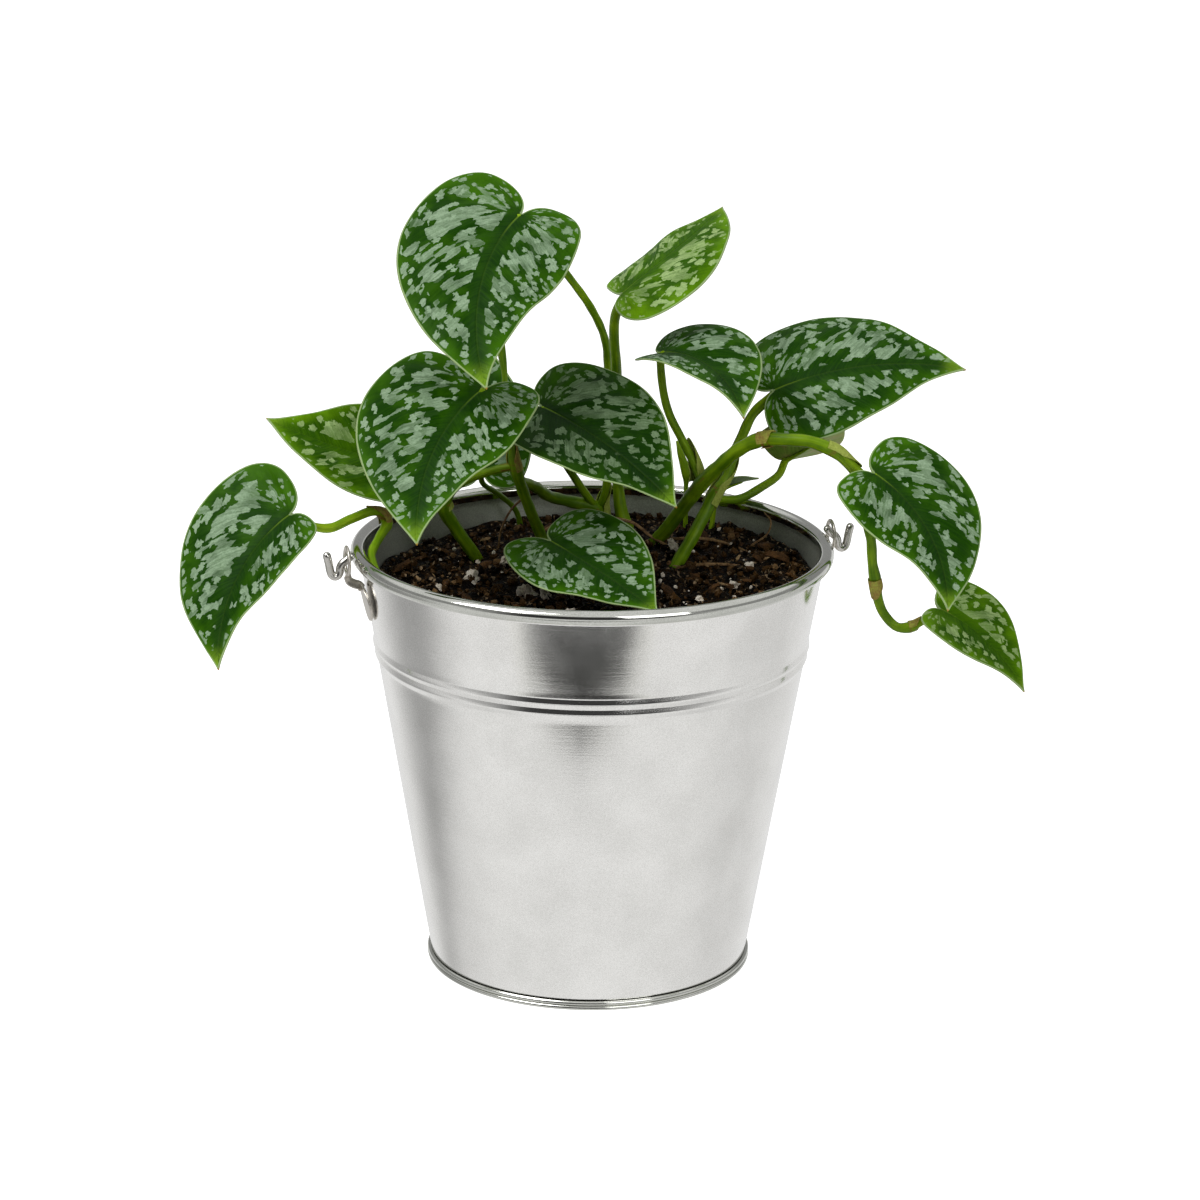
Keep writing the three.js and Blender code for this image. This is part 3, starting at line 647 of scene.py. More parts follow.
def bent_wire():
    material, place = surface("hook_wire")
    grain, patch = grains(place, 0.3, 3.0)
    return finish(material, Base_Color=blend(patch, (0.42, 0.41, 0.37), (0.74, 0.72, 0.68)), Metallic=1.0,
                  Roughness=ramp(patch, 0.3, 0.7, 0.16, 0.26), Normal=bump(grain, 0.15, 0.00003))


def leaf_face(name, deep, fresh, silver, amount, midrib_painted_shade):
    """The upper face of a leaf."""
    material, place = surface(name)
    veins = vein_map(material)
    from_rib, from_edge, along = (attribute(material, key) for key in LEAF_MARKS)
    marks = use(silver_marks, {"Place": veins, "From Rib": from_rib, "From Edge": from_edge,
                               "Amount": amount,
                               "Rib Band": ramp(along, 0.1, 1.0, 2.3, 0.4, soft=False)})
    streaks = use(vein_streaks, {"Place": veins})
    streak = streaks["Streak"]
    grain, patch = grains(place, 0.5, 7.0)
    # green, fresher towards the margin, the tip and the lobes and in soft patches
    share = calc("ADD", ramp(from_edge, 0.0, 5.0, 0.45, 0.0), ramp(patch, 0.42, 0.66, 0.0, 0.35),
                 clamp=True)
    share = calc("ADD", share, ramp(along, 0.72, 0.98, 0.0, 0.6), clamp=True)
    lobe = ramp(along, 0.0, 0.10, 0.5, 0.0) * ramp(from_rib, 2.0, 7.0)
    green = blend(calc("ADD", share, lobe, clamp=True), deep, fresh)
    # painted shade: a darker band along the midrib, where it lies in the crease of the fold
    green = blend(ramp(from_rib, 0.6, 4.0, 0.7, 0.0), green, midrib_painted_shade)
    green = blend(ramp(streak, 0.35, 0.7, 0.0, 0.35), green, blend(0.5, green, fresh))
    pale = blend(ramp(grain, 0.3, 0.7), [0.78 * s + 0.22 * d for s, d in zip(silver, deep)], silver)
    share = marks["Mask"] * marks["Strength"]
    colour = blend(share, green, pale)
    # midrib line, fresh tip, pale margin and dry point
    rib_line = ramp(from_rib, 0.12, 0.36, ramp(along, 0.02, 0.2, 0.8, 0.06), 0.0)
    colour = blend(rib_line, colour, RIB_LINE)
    tip = ramp(along, 0.84, 0.97) * ramp(streak, 0.3, 0.55, 0.4, 0.9)
    colour = blend(tip, colour, FRESH_TIP)
    colour = blend(ramp(from_edge, 0.22, 0.62, 0.95, 0.0), colour, PALE_EDGE)
    colour = blend(ramp(along, 0.982, 0.998), colour, RUST_TIP)
    height = marks["Mask"] * 0.10 + streaks["Height"] + grain * 0.12 + ramp(from_rib, 0.0, 0.6) * 0.5
    return finish(material, Base_Color=colour, Roughness=share * 0.08 + 0.38, Specular_IOR_Level=0.035,
                  Normal=bump(height, 0.8, 0.0005))


def leaf_back(name, dark, light, blush=None):
    """The under face: paler, with the veins showing."""
    material, place = surface(name)
    streaks = use(vein_streaks, {"Place": vein_map(material)})
    _, patch = grains(place, 0.5, 6.0)
    colour = blend(ramp(streaks["Streak"], 0.35, 0.65), dark, light)
    colour = blend(ramp(patch, 0.4, 0.65, 0.0, 0.4), colour, light)
    colour = blend(ramp(attribute(material, "from_rib"), 0.4, 1.0, 0.7, 0.0), colour, (0.22, 0.31, 0.06))
    if blush:
        colour = blend(ramp(patch, 0.35, 0.6, 0.0, 0.5), colour, blush)
    return finish(material, Base_Color=colour, Roughness=0.5, Specular_IOR_Level=0.12,
                  Normal=bump(streaks["Height"], 0.5, 0.0004))


def leaf_margin():
    material, place = surface("leaf_margin")
    _, patch = grains(place, 0.4, 5.0)
    colour = blend(patch, (0.24, 0.34, 0.10), (0.40, 0.50, 0.24))
    colour = blend(ramp(attribute(material, "along"), 0.975, 0.995), colour, RUST_TIP)
    return finish(material, Base_Color=colour, Roughness=0.42, Specular_IOR_Level=0.2)


def stem_skin(name, deep, fresh):
    """Green stem skin with fine lengthwise streaks, and thin rust lines where the rings are."""
    material, place = surface(name)
    skin = Node(material.node_tree, "ShaderNodeTexCoord")["UV"]
    streak = cloud(skin, (0.5, 9.0, 1), 3.0)[0]
    grain, patch = grains(place, 0.35, 6.0)
    ring, young = attribute(material, "ring"), attribute(material, "young")
    share = calc("ADD", ramp(streak, 0.35, 0.7, 0.0, 0.4), ramp(patch, 0.35, 0.7, 0.0, 0.3), clamp=True)
    colour = blend(calc("ADD", share, young * 0.5, clamp=True), deep, fresh)
    rust = blend(ramp(grain, 0.35, 0.65), (0.30, 0.15, 0.03), (0.16, 0.06, 0.02))
    colour = blend(ramp(ring, 0.3, 0.8, 0.0, 0.85), colour, rust)
    height = streak * 0.7 + grain * 0.3 - ring * 0.6
    return finish(material, Base_Color=colour, Roughness=0.38, Specular_IOR_Level=0.14,
                  Normal=bump(height, 0.5, 0.00025))


def husk(name, light, dark):
    """Dry papery or barky skin."""
    material, place = surface(name)
    grain, patch = grains(place, 0.6, 3.0)
    share = ramp(grain, 0.3, 0.7, 0.0, 0.5) + ramp(patch, 0.35, 0.65, 0.0, 0.5)
    return finish(material, Base_Color=blend(share, dark, light), Roughness=0.75, Specular_IOR_Level=0.15,
                  Normal=bump(grain + patch, 0.7, 0.0005))


def soil_skin(name, dark, light, fleck_and_painted_glint_share):
    """Moist potting soil: nearly black, with warm brown grains, pale flecks that are partly painted
    glints, and small damp glints.
    """
    material, place = surface(name)
    grain, patch = grains(place, 0.7, 5.0)
    fleck = cells(place, scale=1.1, dimensions="3D")
    warm, pale, _ = parts_of(fleck["Color"])
    colour = blend(ramp(warm, 0.35, 1.0) * ramp(patch, 0.35, 0.65), dark, light)
    # pale flecks: partly pale bits in the soil, partly painted glints
    colour = blend(ramp(pale, 0.91, 0.95, 0.0, fleck_and_painted_glint_share), colour, (0.34, 0.24, 0.14))
    # On the soil bed the tone is its height, which paints the lumps' tops lighter and the hollows dark as
    # painted shade; on loose grains it is a random tone of their own.
    tone = attribute(material, "tone")
    colour = blend(ramp(tone, 0.35, 0.95, 0.0, 0.8), colour, (0.075, 0.036, 0.010))
    colour = blend(ramp(tone, 0.90, 0.97, 0.0, 0.85), colour, (0.21, 0.125, 0.055))
    height = grain - fleck["Distance"] * 0.7
    return finish(material, Base_Color=colour, Roughness=ramp(grain, 0.35, 0.6, 0.3, 0.9),
                  Specular_IOR_Level=0.07, Normal=bump(height, 0.9, 0.0008))


zinc_outside = galvanised("zinc_outside", (1.0, 0.992, 0.965), (0.80, 0.793, 0.765), 0.13, 0.35)
zinc_rim = galvanised("zinc_rim", (0.72, 0.725, 0.68), (0.54, 0.55, 0.505), 0.09, 0.15)
# painted shade: the inside is a darker, less metallic copy of the same zinc, for the shade inside the pail
zinc_inside_painted_shade = galvanised("zinc_inside_painted_shade", (0.42, 0.44, 0.385), (0.25, 0.26, 0.22), 0.4, metal=0.55)
# painted reflection: the ears' zinc is darker and warmer than the wall's, for a warm reflection on them;
# the rougher pressed finish is their own
zinc_pressed_painted_reflection = galvanised("zinc_pressed_painted_reflection", (0.68, 0.64, 0.57), (0.50, 0.47, 0.42), 0.33, 0.2)
hook_wire = bent_wire()
face_dark = leaf_face("leaf_face_dark", (0.007, 0.042, 0.0004), (0.048, 0.155, 0.002),
                      (0.330, 0.460, 0.295), 0.0, (0.009, 0.036, 0.005))
# painted shade: a darker copy of the leaf face, green and silver alike, for a leaf lying in shade
face_painted_shade = leaf_face("leaf_face_painted_shade", (0.005, 0.030, 0.0004), (0.028, 0.095, 0.001),
                       (0.185, 0.275, 0.145), -0.01, (0.006, 0.024, 0.004))
face_bright = leaf_face("leaf_face_bright", (0.022, 0.085, 0.0005), (0.15, 0.34, 0.002),
                        (0.40, 0.56, 0.22), -0.01, (0.030, 0.10, 0.001))
back_pale = leaf_back("leaf_back_pale", (0.095, 0.175, 0.040), (0.17, 0.27, 0.08))
back_blush = leaf_back("leaf_back_blush", (0.16, 0.29, 0.03), (0.27, 0.42, 0.07), (0.42, 0.30, 0.12))
margin_pale = leaf_margin()
stem_green = stem_skin("stem_green", (0.070, 0.160, 0.002), (0.29, 0.46, 0.008))
stem_light = stem_skin("stem_light", (0.15, 0.30, 0.004), (0.42, 0.62, 0.02))
husk_tan = husk("husk_tan", (0.40, 0.43, 0.07), (0.30, 0.17, 0.05))
husk_pale = husk("husk_pale", (0.42, 0.50, 0.10), (0.26, 0.32, 0.05))
root_tan = husk("root_tan", (0.30, 0.19, 0.09), (0.10, 0.05, 0.02))
bark_brown = husk("bark_brown", (0.11, 0.050, 0.014), (0.012, 0.005, 0.001))
wood_pale = husk("wood_pale", (0.34, 0.23, 0.12), (0.10, 0.055, 0.02))
perlite_white = husk("perlite_white", (0.82, 0.76, 0.66), (0.34, 0.28, 0.20))
soil_dark = soil_skin("soil_dark", (0.001, 0.0004, 0.0001), (0.030, 0.014, 0.003), 0.5)
crumb_dark = soil_skin("crumb_dark", (0.002, 0.0009, 0.0002), (0.055, 0.027, 0.007), 0.7)


# ---- pail ----
BEND_SHARE = 0.6  # how much of a rib's height shows inside the wall
ZINC_INSIDE, ZINC_RIM = 1, 2  # material slots of the wall; the outside has slot 0


def rib_bump(z):
    reach = min(abs(z - at) / RIB_HALF for at in RIB_HEIGHTS)
    return RIB_PROUD * max(0, 1.06 - hypot(reach, 0.12))


def make_pail_wall():
    heights = [WALL_FOOT, 20, 40, 60, 80, 91, 92.5]
    for at in RIB_HEIGHTS:
        heights += [at + RIB_HALF * sin(pi * step / 20) for step in range(-10, 11)]
    heights += [99.4, 101, 108, 115, 120, 121.6, 122.1]
    profile = [(wall_radius(z) + rib_bump(z), z) for z in heights]
    for step in range(25):
        angle = radians(-103 + 283 * step / 24)
        profile.append((RIM_RADIUS - CURL_RADIUS + CURL_RADIUS * cos(angle),
                        PAIL_HEIGHT - CURL_RADIUS + CURL_RADIUS * sin(angle)))
    inside = [(z, 0) for z in (122.6, 121, 112, 100)]
    inside += [(z, BEND_SHARE) for z in (99, 97.5, 96, 94.4, 93)]
    inside += [(z, 0) for z in (91, 60, 30, WALL_FOOT)]
    profile += [(wall_radius(z) - SHEET + share * rib_bump(z), z) for z, share in inside]
    wall = turned(profile + profile[:1])
    weld(wall)
    for material in (zinc_outside, zinc_inside_painted_shade, zinc_rim):
        wall.data.materials.append(material)
    for face in wall.data.polygons:
        radius = hypot(face.center.x, face.center.y) / MM
        height = face.center.z / MM
        inward = face.normal.x * face.center.x + face.normal.y * face.center.y < 0
        if inward and height < 122.6 and radius < wall_radius(height) + 0.5:
            face.material_index = ZINC_INSIDE
        elif height > 122.2:
            face.material_index = ZINC_RIM
    dress(wall, "pail_wall_rolled", ["pail_wall"], angle=50)


def make_pail_base():
    bead = SEAM_HEIGHT / 4
    profile = [(39.8, 0.02), (40.3, 0.2), (41, 0.6), (43.5, 0.6), (44.2, 0.2), (44.7, 0.02), (46.6, 0.0)]
    for centre in (bead, 3 * bead):
        for step in range(13):
            angle = radians(-84 + 14 * step)
            profile.append((SEAM_RADIUS - bead + bead * cos(angle), centre + bead * sin(angle)))
    profile += [(FOOT_RADIUS + 0.3, SEAM_HEIGHT - 0.02), (FOOT_RADIUS - 1.2, SEAM_HEIGHT - 0.05),
                (FOOT_RADIUS - 1.9, PANEL)]
    base = turned(profile)
    edit(base)
    bpy.ops.mesh.fill_holes(sides=0)
    leave_edit()
    weld(base)
    dress(base, "pail_base_seamed", ["pail_bottom"], [zinc_rim], 35)


def make_ear_plate():
    """A disc drawn out to a shield, dished by an inset, thickened and bent round the wall."""
    tall = EAR_TOP - EAR_BOTTOM
    plate = added(bpy.ops.mesh.primitive_circle_add, vertices=64, radius=1, fill_type="NGON")
    for vertex in plate.data.vertices:
        angle = atan2(vertex.co.y, vertex.co.x)
        up = 0.5 + 0.5 * sin(angle)
        width = EAR_HALF * (0.72 + 0.62 * up - 0.36 * up ** 2) * (1 - 0.14 * up ** 4)
        vertex.co = (0, cos(angle) * width * MM, up * tall * MM)
    edit(plate)
    bpy.ops.mesh.inset(thickness=0.7 * MM)
    bpy.ops.transform.translate(value=(-0.04 * MM, 0, 0))
    bpy.ops.mesh.inset(thickness=2.4 * MM)
    leave_edit()
    thicken(plate, 0.8)
    rounding = plate.modifiers.new("Rounding", "BEVEL")
    rounding.width = 0.2 * MM
    rounding.segments = 2
    apply_modifiers(plate)
    slope = tan(radians(EAR_LEAN))
    for vertex in plate.data.vertices:
        out, across, up = vertex.co / MM
        reach = wall_radius(EAR_BOTTOM + up) + 0.8 + slope * up + out
        angle = across / (reach + 0.35 * up)
        vertex.co = Vector((reach * cos(angle), reach * sin(angle), EAR_BOTTOM + up)) * MM
    plate.data.update()
    weld(plate, 0.001)
    return plate


def set_round(obj, turn):
    """Turns a finished form to its side of the pail."""
    obj.rotation_euler = (0, 0, radians(turn))
    apply_place(obj)


def make_ear(side, turn):
    plate = make_ear_plate()
    path = [(67.6, EAR_TOP - 1.8), (68.4, EAR_TOP - 0.6), (70.0, EAR_TOP), (71.5, EAR_TOP + 1),
            (EYE_REACH, EYE_HEIGHT - EYE_MIDDLE)]
    neck = rod([(r, 0, z, 0.5) for r, z in path], sides=20, spacing=0.5, wide=3.0)
    eye = added(bpy.ops.mesh.primitive_torus_add, major_segments=56, minor_segments=16,
                major_radius=EYE_MIDDLE * MM, minor_radius=EYE_WIRE * MM, rotation=(0, pi / 2, 0),
                location=(EYE_REACH * MM, 0, EYE_HEIGHT * MM))
    eye.scale.z = 0.68
    apply_place(eye)
    ear = joined([plate, neck, eye])
    set_round(ear, turn)
    dress(ear, "ear_pressed_" + side, ["ear_" + side], [zinc_pressed_painted_reflection], 50)


def make_hook(side, turn):
    path = [(70.1, 127.35), (72.0, 125.3), (73.2, 124.4), (74.0, 123.2), (74.15, 121.9), (74.6, 120.8),
            (75.5, 120.4), (76.4, 120.9), (76.9, 122.2), (77.3, 124.4), (78.1, 127.9)]
    hook = rod([(r, 0, z, HOOK_WIRE) for r, z in path], sides=20, spacing=0.4)
    set_round(hook, turn)
    dress(hook, "hook_bent_" + side, ["hook_" + side], [hook_wire], body=side + "_hook")


# ---- leaves ----
BLADE = 0.55  # thickness of a dressed blade
VEIN_SLOPE = 0.8  # slant of a side vein where it leaves the midrib
VEIN_CURVE = 0.4  # how much it curves towards the tip
QUILT = 5.6  # distance between the raised strips along the veins
QUILT_HEIGHT = 0.38
RIPPLE = 23  # distance between the waves of the margin
RIPPLE_HEIGHT = 0.55
USUAL_LENGTH = 55  # length of the leaf that has these heights
SMALL_LEAF = 30  # a leaf up to this length gets a coarser grid
MIDRIB_STEP = (0.72, 0.65)  # along and across the veins, for each millimetre of midrib
FAN_STEP = 13  # across the veins, for each radian of the fan
LEAF_SHIFT = (37, 61)  # sets the maps of two leaves apart
HALF_SHIFT = 150  # sets the maps of two halves apart
OUTLINE_STEPS = 400
CROWDING = 0.9  # below 1 the grid is finer at the margin


def curve(a, b, c, d, t):
    u = 1 - t
    return a * u ** 3 + 3 * b * t * u * u + 3 * c * t * t * u + d * t ** 3


def margin_point(s, length, half, lobe):
    """One side of the heart-shaped outline, from the stalk round the lobe to the tip."""
    back = half / 2
    widest = 0.24 * length
    if s <= 0.25:
        t = s / 0.25
        return curve(0, 0.04 * half, 0.45 * back, back, t), curve(0, -0.72 * lobe, -lobe, -lobe, t)
    if s <= 0.5:
        t = (s - 0.25) / 0.25
        return curve(back, 0.8 * half, half, half, t), curve(-lobe, -lobe, 0, widest, t)
    t = (s - 0.5) / 0.5
    return (curve(half, half, 0.16 * half, 0, t),
            curve(widest, 0.54 * length, 0.84 * length, length, t))


def half_width(leaf, side):
    return leaf["right"] if side > 0 else leaf["left"]


def flat_point(leaf, side, s, v):
    """A point of the unbent blade: its distances from the midrib's line and along it."""
    lobe = leaf["lobes"][0 if side > 0 else 1]
    edge_x, edge_y = margin_point(s, leaf["length"], half_width(leaf, side), lobe)
    rib = max(0, (s - 0.25) / 0.75) ** 2 * leaf["length"]
    return v * edge_x, rib + v * (edge_y - rib)


def bent_point(leaf, side, x, y, lift):
    mean = (leaf["right"] + leaf["left"]) / 2
    across = x / mean
    rise = tan(radians(leaf["fold"])) * (sqrt(across ** 2 + 0.01) - 0.1)
    z = mean * (rise - leaf["cup"] * across ** 2) + lift
    sway = radians(leaf["sway"] or 0.01) / leaf["length"]
    angle = sway * max(y, 0)
    sway_x = (1 - cos(angle)) / sway + side * x * cos(angle)
    sway_y = sin(angle) / sway + min(y, 0) - side * x * sin(angle)
    bend = leaf["length"] / radians(leaf["droop"] or 0.01)
    arc = sway_y / bend
    return Vector((sway_x, (bend + z) * sin(arc), (bend + z) * cos(arc) - bend))


def leaf_place(leaf):
    heading, pitch, roll = (radians(leaf[key]) for key in ("heading", "pitch", "roll"))
    along = Vector((cos(heading) * cos(pitch), sin(heading) * cos(pitch),
                    sin(pitch)))
    level = Vector((sin(heading), -cos(heading), 0))
    across = Quaternion(along, -roll) @ level
    return Matrix.Translation(Vector(leaf["at"])) @ axes_matrix(across, along, across.cross(along))


def vein_place(half, x, y):
    """Where a point of a half blade lies: (along its side vein, across the veins).

    Side veins leave the midrib at a slant and curve towards the tip; behind the first one they fan
    out from the stalk.
    """
    start = y - (VEIN_SLOPE * x + VEIN_CURVE * x * x / half)
    if start >= 0:
        grow = 2 * VEIN_CURVE / half

        def run(slope):
            return (slope * sqrt(1 + slope ** 2) + asinh(slope)) / (2 * grow)

        walked = run(VEIN_SLOPE + grow * x) - run(VEIN_SLOPE)
        return walked + MIDRIB_STEP[0] * start, MIDRIB_STEP[1] * start
    reach = hypot(x, y)
    across = 0.7 * reach
    for _ in range(3):
        first = atan2(1, VEIN_SLOPE + VEIN_CURVE * across / half)
        across = reach * sin(first)
    return reach, -FAN_STEP * (atan2(x, y) - first)


def outline_tree(leaf):
    """The flat outline of a leaf, ready for finding the nearest point of it."""
    tree = kdtree.KDTree(2 * (OUTLINE_STEPS + 1))
    for side in (1, -1):
        for i in range(OUTLINE_STEPS + 1):
            x, y = flat_point(leaf, side, i / OUTLINE_STEPS, 1)
            tree.insert((side * x, y, 0), i)
    tree.balance()
    return tree


def shape_blade(obj, leaf, number):
    """Bends a flat grid into the blade, stores its marks and returns each corner's grid place."""
    place = leaf_place(leaf)
    outline = outline_tree(leaf)
    random.seed(number)
    phase = random.uniform(0, 6.28)
    phase_edge = random.uniform(0, 6.28)
    corners = []
    marks = []
    for vertex in obj.data.vertices:
        across = 2 * vertex.co.x - 1
        side = -1 if across < -1e-6 else 1
        v = abs(across) ** CROWDING
        s = vertex.co.y
        x, y = flat_point(leaf, side, s, v)
        from_edge = outline.find((side * x, y, 0))[2]
        _, walked = vein_place(half_width(leaf, side), x, y)
        inside = min(1, x / 6) * min(1, from_edge / 5)
        lift = QUILT_HEIGHT * inside * sin(walked * 2 * pi / QUILT + phase + side)
        wave = sin(walked * 2 * pi / RIPPLE + phase_edge + side)
        lift += RIPPLE_HEIGHT * v ** 3 * min(1, x / 8) * wave
        lift *= max(leaf["length"], 20) / USUAL_LENGTH
        vertex.co = place @ bent_point(leaf, side, x, y, lift) * MM
        corners.append((across, s))
        marks.append((x if y > 0 else hypot(x, y), from_edge, min(1, max(0, y / leaf["length"]))))
    for name, values in zip(LEAF_MARKS, zip(*marks)):
        store(obj, name, values)
    return corners


def map_veins(obj, leaf, number, corners):
    """The map along and across the side veins, apart for the two halves and for each leaf."""
    veins = obj.data.uv_layers.new(name="veins")
    for face in obj.data.polygons:
        side = 1 if sum(corners[i][0] for i in face.vertices) > 0 else -1
        for loop in face.loop_indices:
            across, s = corners[obj.data.loops[loop].vertex_index]
            v = max(abs(across) ** CROWDING, 0.01)
            x, y = flat_point(leaf, side, min(max(s, 0.01), 0.995), v)
            length, walked = vein_place(half_width(leaf, side), x, y)
            length += number * LEAF_SHIFT[0]
            walked += side * HALF_SHIFT + number * LEAF_SHIFT[1]
            veins.data[loop].uv = (length / MAP_SCALE, walked / MAP_SCALE)
    obj.data.uv_layers.remove(obj.data.uv_layers[0])


def make_leaf(name, leaf, number):
    strips, stations = (11, 64) if leaf["length"] > SMALL_LEAF else (7, 36)
    obj = grid(2 * strips, stations)
    map_veins(obj, leaf, number, shape_blade(obj, leaf, number))
    merge_doubles(obj)
    blade = thicken(obj, BLADE)
    blade.material_offset = 1
    blade.material_offset_rim = 2
    fine = obj.modifiers.new("Fine", "SUBSURF")
    fine.levels = 1
    fine.render_levels = 1
    bright = name in BRIGHT_LEAVES
    front = face_bright if bright else face_painted_shade if name in PAINTED_SHADE_LEAVES else face_dark
    back = back_blush if name == "leaf_underside" else back_pale
    for material in (front, back, margin_pale):
        obj.data.materials.append(material)
    apply_modifiers(obj)
    dress(obj, name + "_blade", [name], angle=180)


# ---- stems ----
RIB_UNDER = ((0.04, 0.75), (0.18, 0.55), (0.4, 0.42), (0.62, 0.3))  # (share of the blade, radius)
LIGHT_STEMS = ("vine_left", "furled_leaf_back", "petiole_small_back")
RING_REACH = 5  # no ring colours a stem further off than this


def stalk_end(leaf, before):
    """The end of a stalk under its blade."""
    up = (leaf_place(leaf).to_3x3() @ Vector((0, 0, 1))).normalized()
    join_point = Vector(leaf["at"])
    slant = (join_point - Vector(before[:3])).normalized().dot(up)
    depth = 0.1 + before[3] * sqrt(max(0, 1 - slant ** 2))
    return (*(join_point - up * depth), before[3])


def rib_under(leaf):
    """The stalk runs on as a thinning rib along the underside of its blade."""
    found = []
    for share, radius in RIB_UNDER:
        at = bent_point(leaf, 1, 0, share * leaf["length"], 0) - Vector((0, 0, radius - 0.05))
        found.append((*(leaf_place(leaf) @ at), radius))
    return found


def ring_planes(rings, runs):
    """For each ring its middle, the way the stem runs through it, and its colour strength."""
    found = []
    for x, y, z, strength in rings:
        middle = Vector((x, y, z))
        near = []
        for points, _ in runs:
            samples = path_samples(points, 1.0)
            for (before, _, _), (here, _, _), (after, _, _) in zip(samples, samples[1:], samples[2:]):
                near.append(((here - middle).length, (after - before).normalized()))
        found.append((middle, min(near, key=lambda item: item[0])[1], strength))
    return found


def ring_colour(at, planes):
    """How near a point lies to a ring; each ring is a line with a fainter one beyond it."""
    value = 0
    for middle, way, strength in planes:
        if (at - middle).length < RING_REACH:
            past = (at - middle).dot(way)
            line = exp(-(past / 0.5) ** 2) + 0.7 * exp(-((past - 1.5) / 0.35) ** 2)
            value = max(value, strength * line)
    return value


def make_stem(name, runs):
    planes = ring_planes(NODE_RINGS.get(name, []), runs)
    random.seed(len(name))
    parts = []
    for points, leaf in runs:
        if leaf:
            points = points + [stalk_end(LEAVES[leaf], points[-1])] + rib_under(LEAVES[leaf])
        wave = random.uniform(0, 6)

        def shape(distance, turn, wave=wave):
            groove = 1 - 0.07 * max(0, cos(turn - wave)) ** 6
            swell = 0.025 * sin(distance * 0.9 + wave) + 0.02 * sin(2 * turn + distance)
            return groove * (1 + swell)

        part = rod(points, sides=18, spacing=0.9, shape=shape)
        tip = Vector(LEAVES[leaf]["at"] if leaf else points[-1][:3])
        reach = 16.0 if leaf else 8.0
        places = [vertex.co / MM for vertex in part.data.vertices]
        store(part, "ring", [ring_colour(at, planes) for at in places])
        store(part, "young", [max(0, 1 - (at - tip).length / reach) for at in places])
        parts.append(part)
    stem = joined(parts) if len(parts) > 1 else parts[0]
    skin = stem_light if name in LIGHT_STEMS else stem_green
    dress(stem, name + "_skin", [name], [skin], 180)


# ---- soil ----
SOIL_RINGS = 84
SOIL_SIDES = 208
IN_SOIL = 112  # a run that starts lower than this stands in the soil


def soil_height(x, y):
    slope = 0.035 * x + 0.03 * y
    waves = sin(x * 0.31 + 1.3) * cos(y * 0.27) + 0.6 * sin(x * 0.63 - y * 0.51)
    return SOIL_LEVEL + slope + 0.7 * waves


def lumps(x, y):
    """Crumbly relief on top of the soil."""
    low = noise.noise(Vector((x / 6.5, y / 6.5, 3.1)))
    large, _ = noise.voronoi(Vector((x / 4.0, y / 4.0, 7.7)))
    small, _ = noise.voronoi(Vector((x / 1.9, y / 1.9, 1.2)))
    return low + 2.0 * (0.45 - large[0]) + 0.8 * (0.4 - small[0])


def make_soil():
    edge = wall_radius(SOIL_LEVEL - 5) - SHEET - 0.3
    foot = FOOT_RADIUS - 2.6
    steps = [(edge * i / SOIL_RINGS, None) for i in range(SOIL_RINGS + 1)]
    steps += [(edge - 0.2, 106.0), (foot, PANEL + 0.3), (0, PANEL + 0.3)]
    obj = grid(len(steps) - 1, SOIL_SIDES)

    def wrap(x, y):
        radius, height = steps[round(x * (len(steps) - 1))]
        angle = y * 2 * pi
        px, py = radius * cos(angle), radius * sin(angle)
        if height is None:
            height = soil_height(px, py) + lumps(px, py) * min(1, (edge - radius) / 2.5)
        return px, py, height

    place_vertices(obj, wrap)
    weld(obj, 0.01)
    places = [vertex.co / MM for vertex in obj.data.vertices]
    # painted light and shade: the tone rises with height over the soil, so the lumps' tops are painted
    # lighter and the hollows between them dark
    store(obj, "tone", [min(0.88, max(0, (z - soil_height(x, y) + 0.5) / 2.2)) for x, y, z in places])
    dress(obj, "soil_bed", ["potting_soil"], [soil_dark])


def pebble(seed, stretch, rough, detail):
    """One lump: a rounded ball that is pushed in and out."""
    obj = added(bpy.ops.mesh.primitive_ico_sphere_add, subdivisions=detail, radius=1)
    shift = Vector((seed * 3.7, seed * 1.3, seed * 2.1))
    for vertex in obj.data.vertices:
        push = 1 + rough * noise.noise(vertex.co * 1.3 + shift)
        push += 0.5 * rough * noise.noise(vertex.co * 3.1 + shift)
        vertex.co = Vector([c * push * k * MM for c, k in zip(vertex.co, stretch)])
    return obj


def scatter(name, shapes, places, material, angle):
    """Copies of the shapes, each set down with its own turn, size and tone, as one piece."""
    rng = random.Random(len(places))
    copies = []
    for number, (at, turn, size) in enumerate(places):
        source = shapes[number % len(shapes)]
        copy = source.copy()
        copy.data = source.data.copy()
        bpy.context.scene.collection.objects.link(copy)
        copy.matrix_world = Matrix.LocRotScale(Vector(at) * MM, turn, Vector((size, size, size)))
        store(copy, "tone", [rng.random()] * len(copy.data.vertices))
        copies.append(copy)
    for source in shapes:
        bpy.data.objects.remove(source)
    piece = joined(copies)
    apply_place(piece)
    dress(piece, name, [], [material], angle)


def on_soil(rng, reach, clear):
    """A random place on the soil that keeps clear of the stems."""
    feet = [run[0][0] for runs in STEMS.values() for run in runs if run[0][0][2] < IN_SOIL]
    while True:
        radius = reach * sqrt(rng.random())
        angle = rng.random() * 2 * pi
        x, y = radius * cos(angle), radius * sin(angle)
        if all(hypot(x - foot[0], y - foot[1]) > clear for foot in feet):
            return x, y


def any_turn(rng, tilt):
    turn = Quaternion((0, 0, 1), rng.uniform(0, 2 * pi))
    axis = Vector((rng.uniform(-1, 1), rng.uniform(-1, 1), 0.01)).normalized()
    return Quaternion(axis, rng.uniform(-tilt, tilt)) @ turn


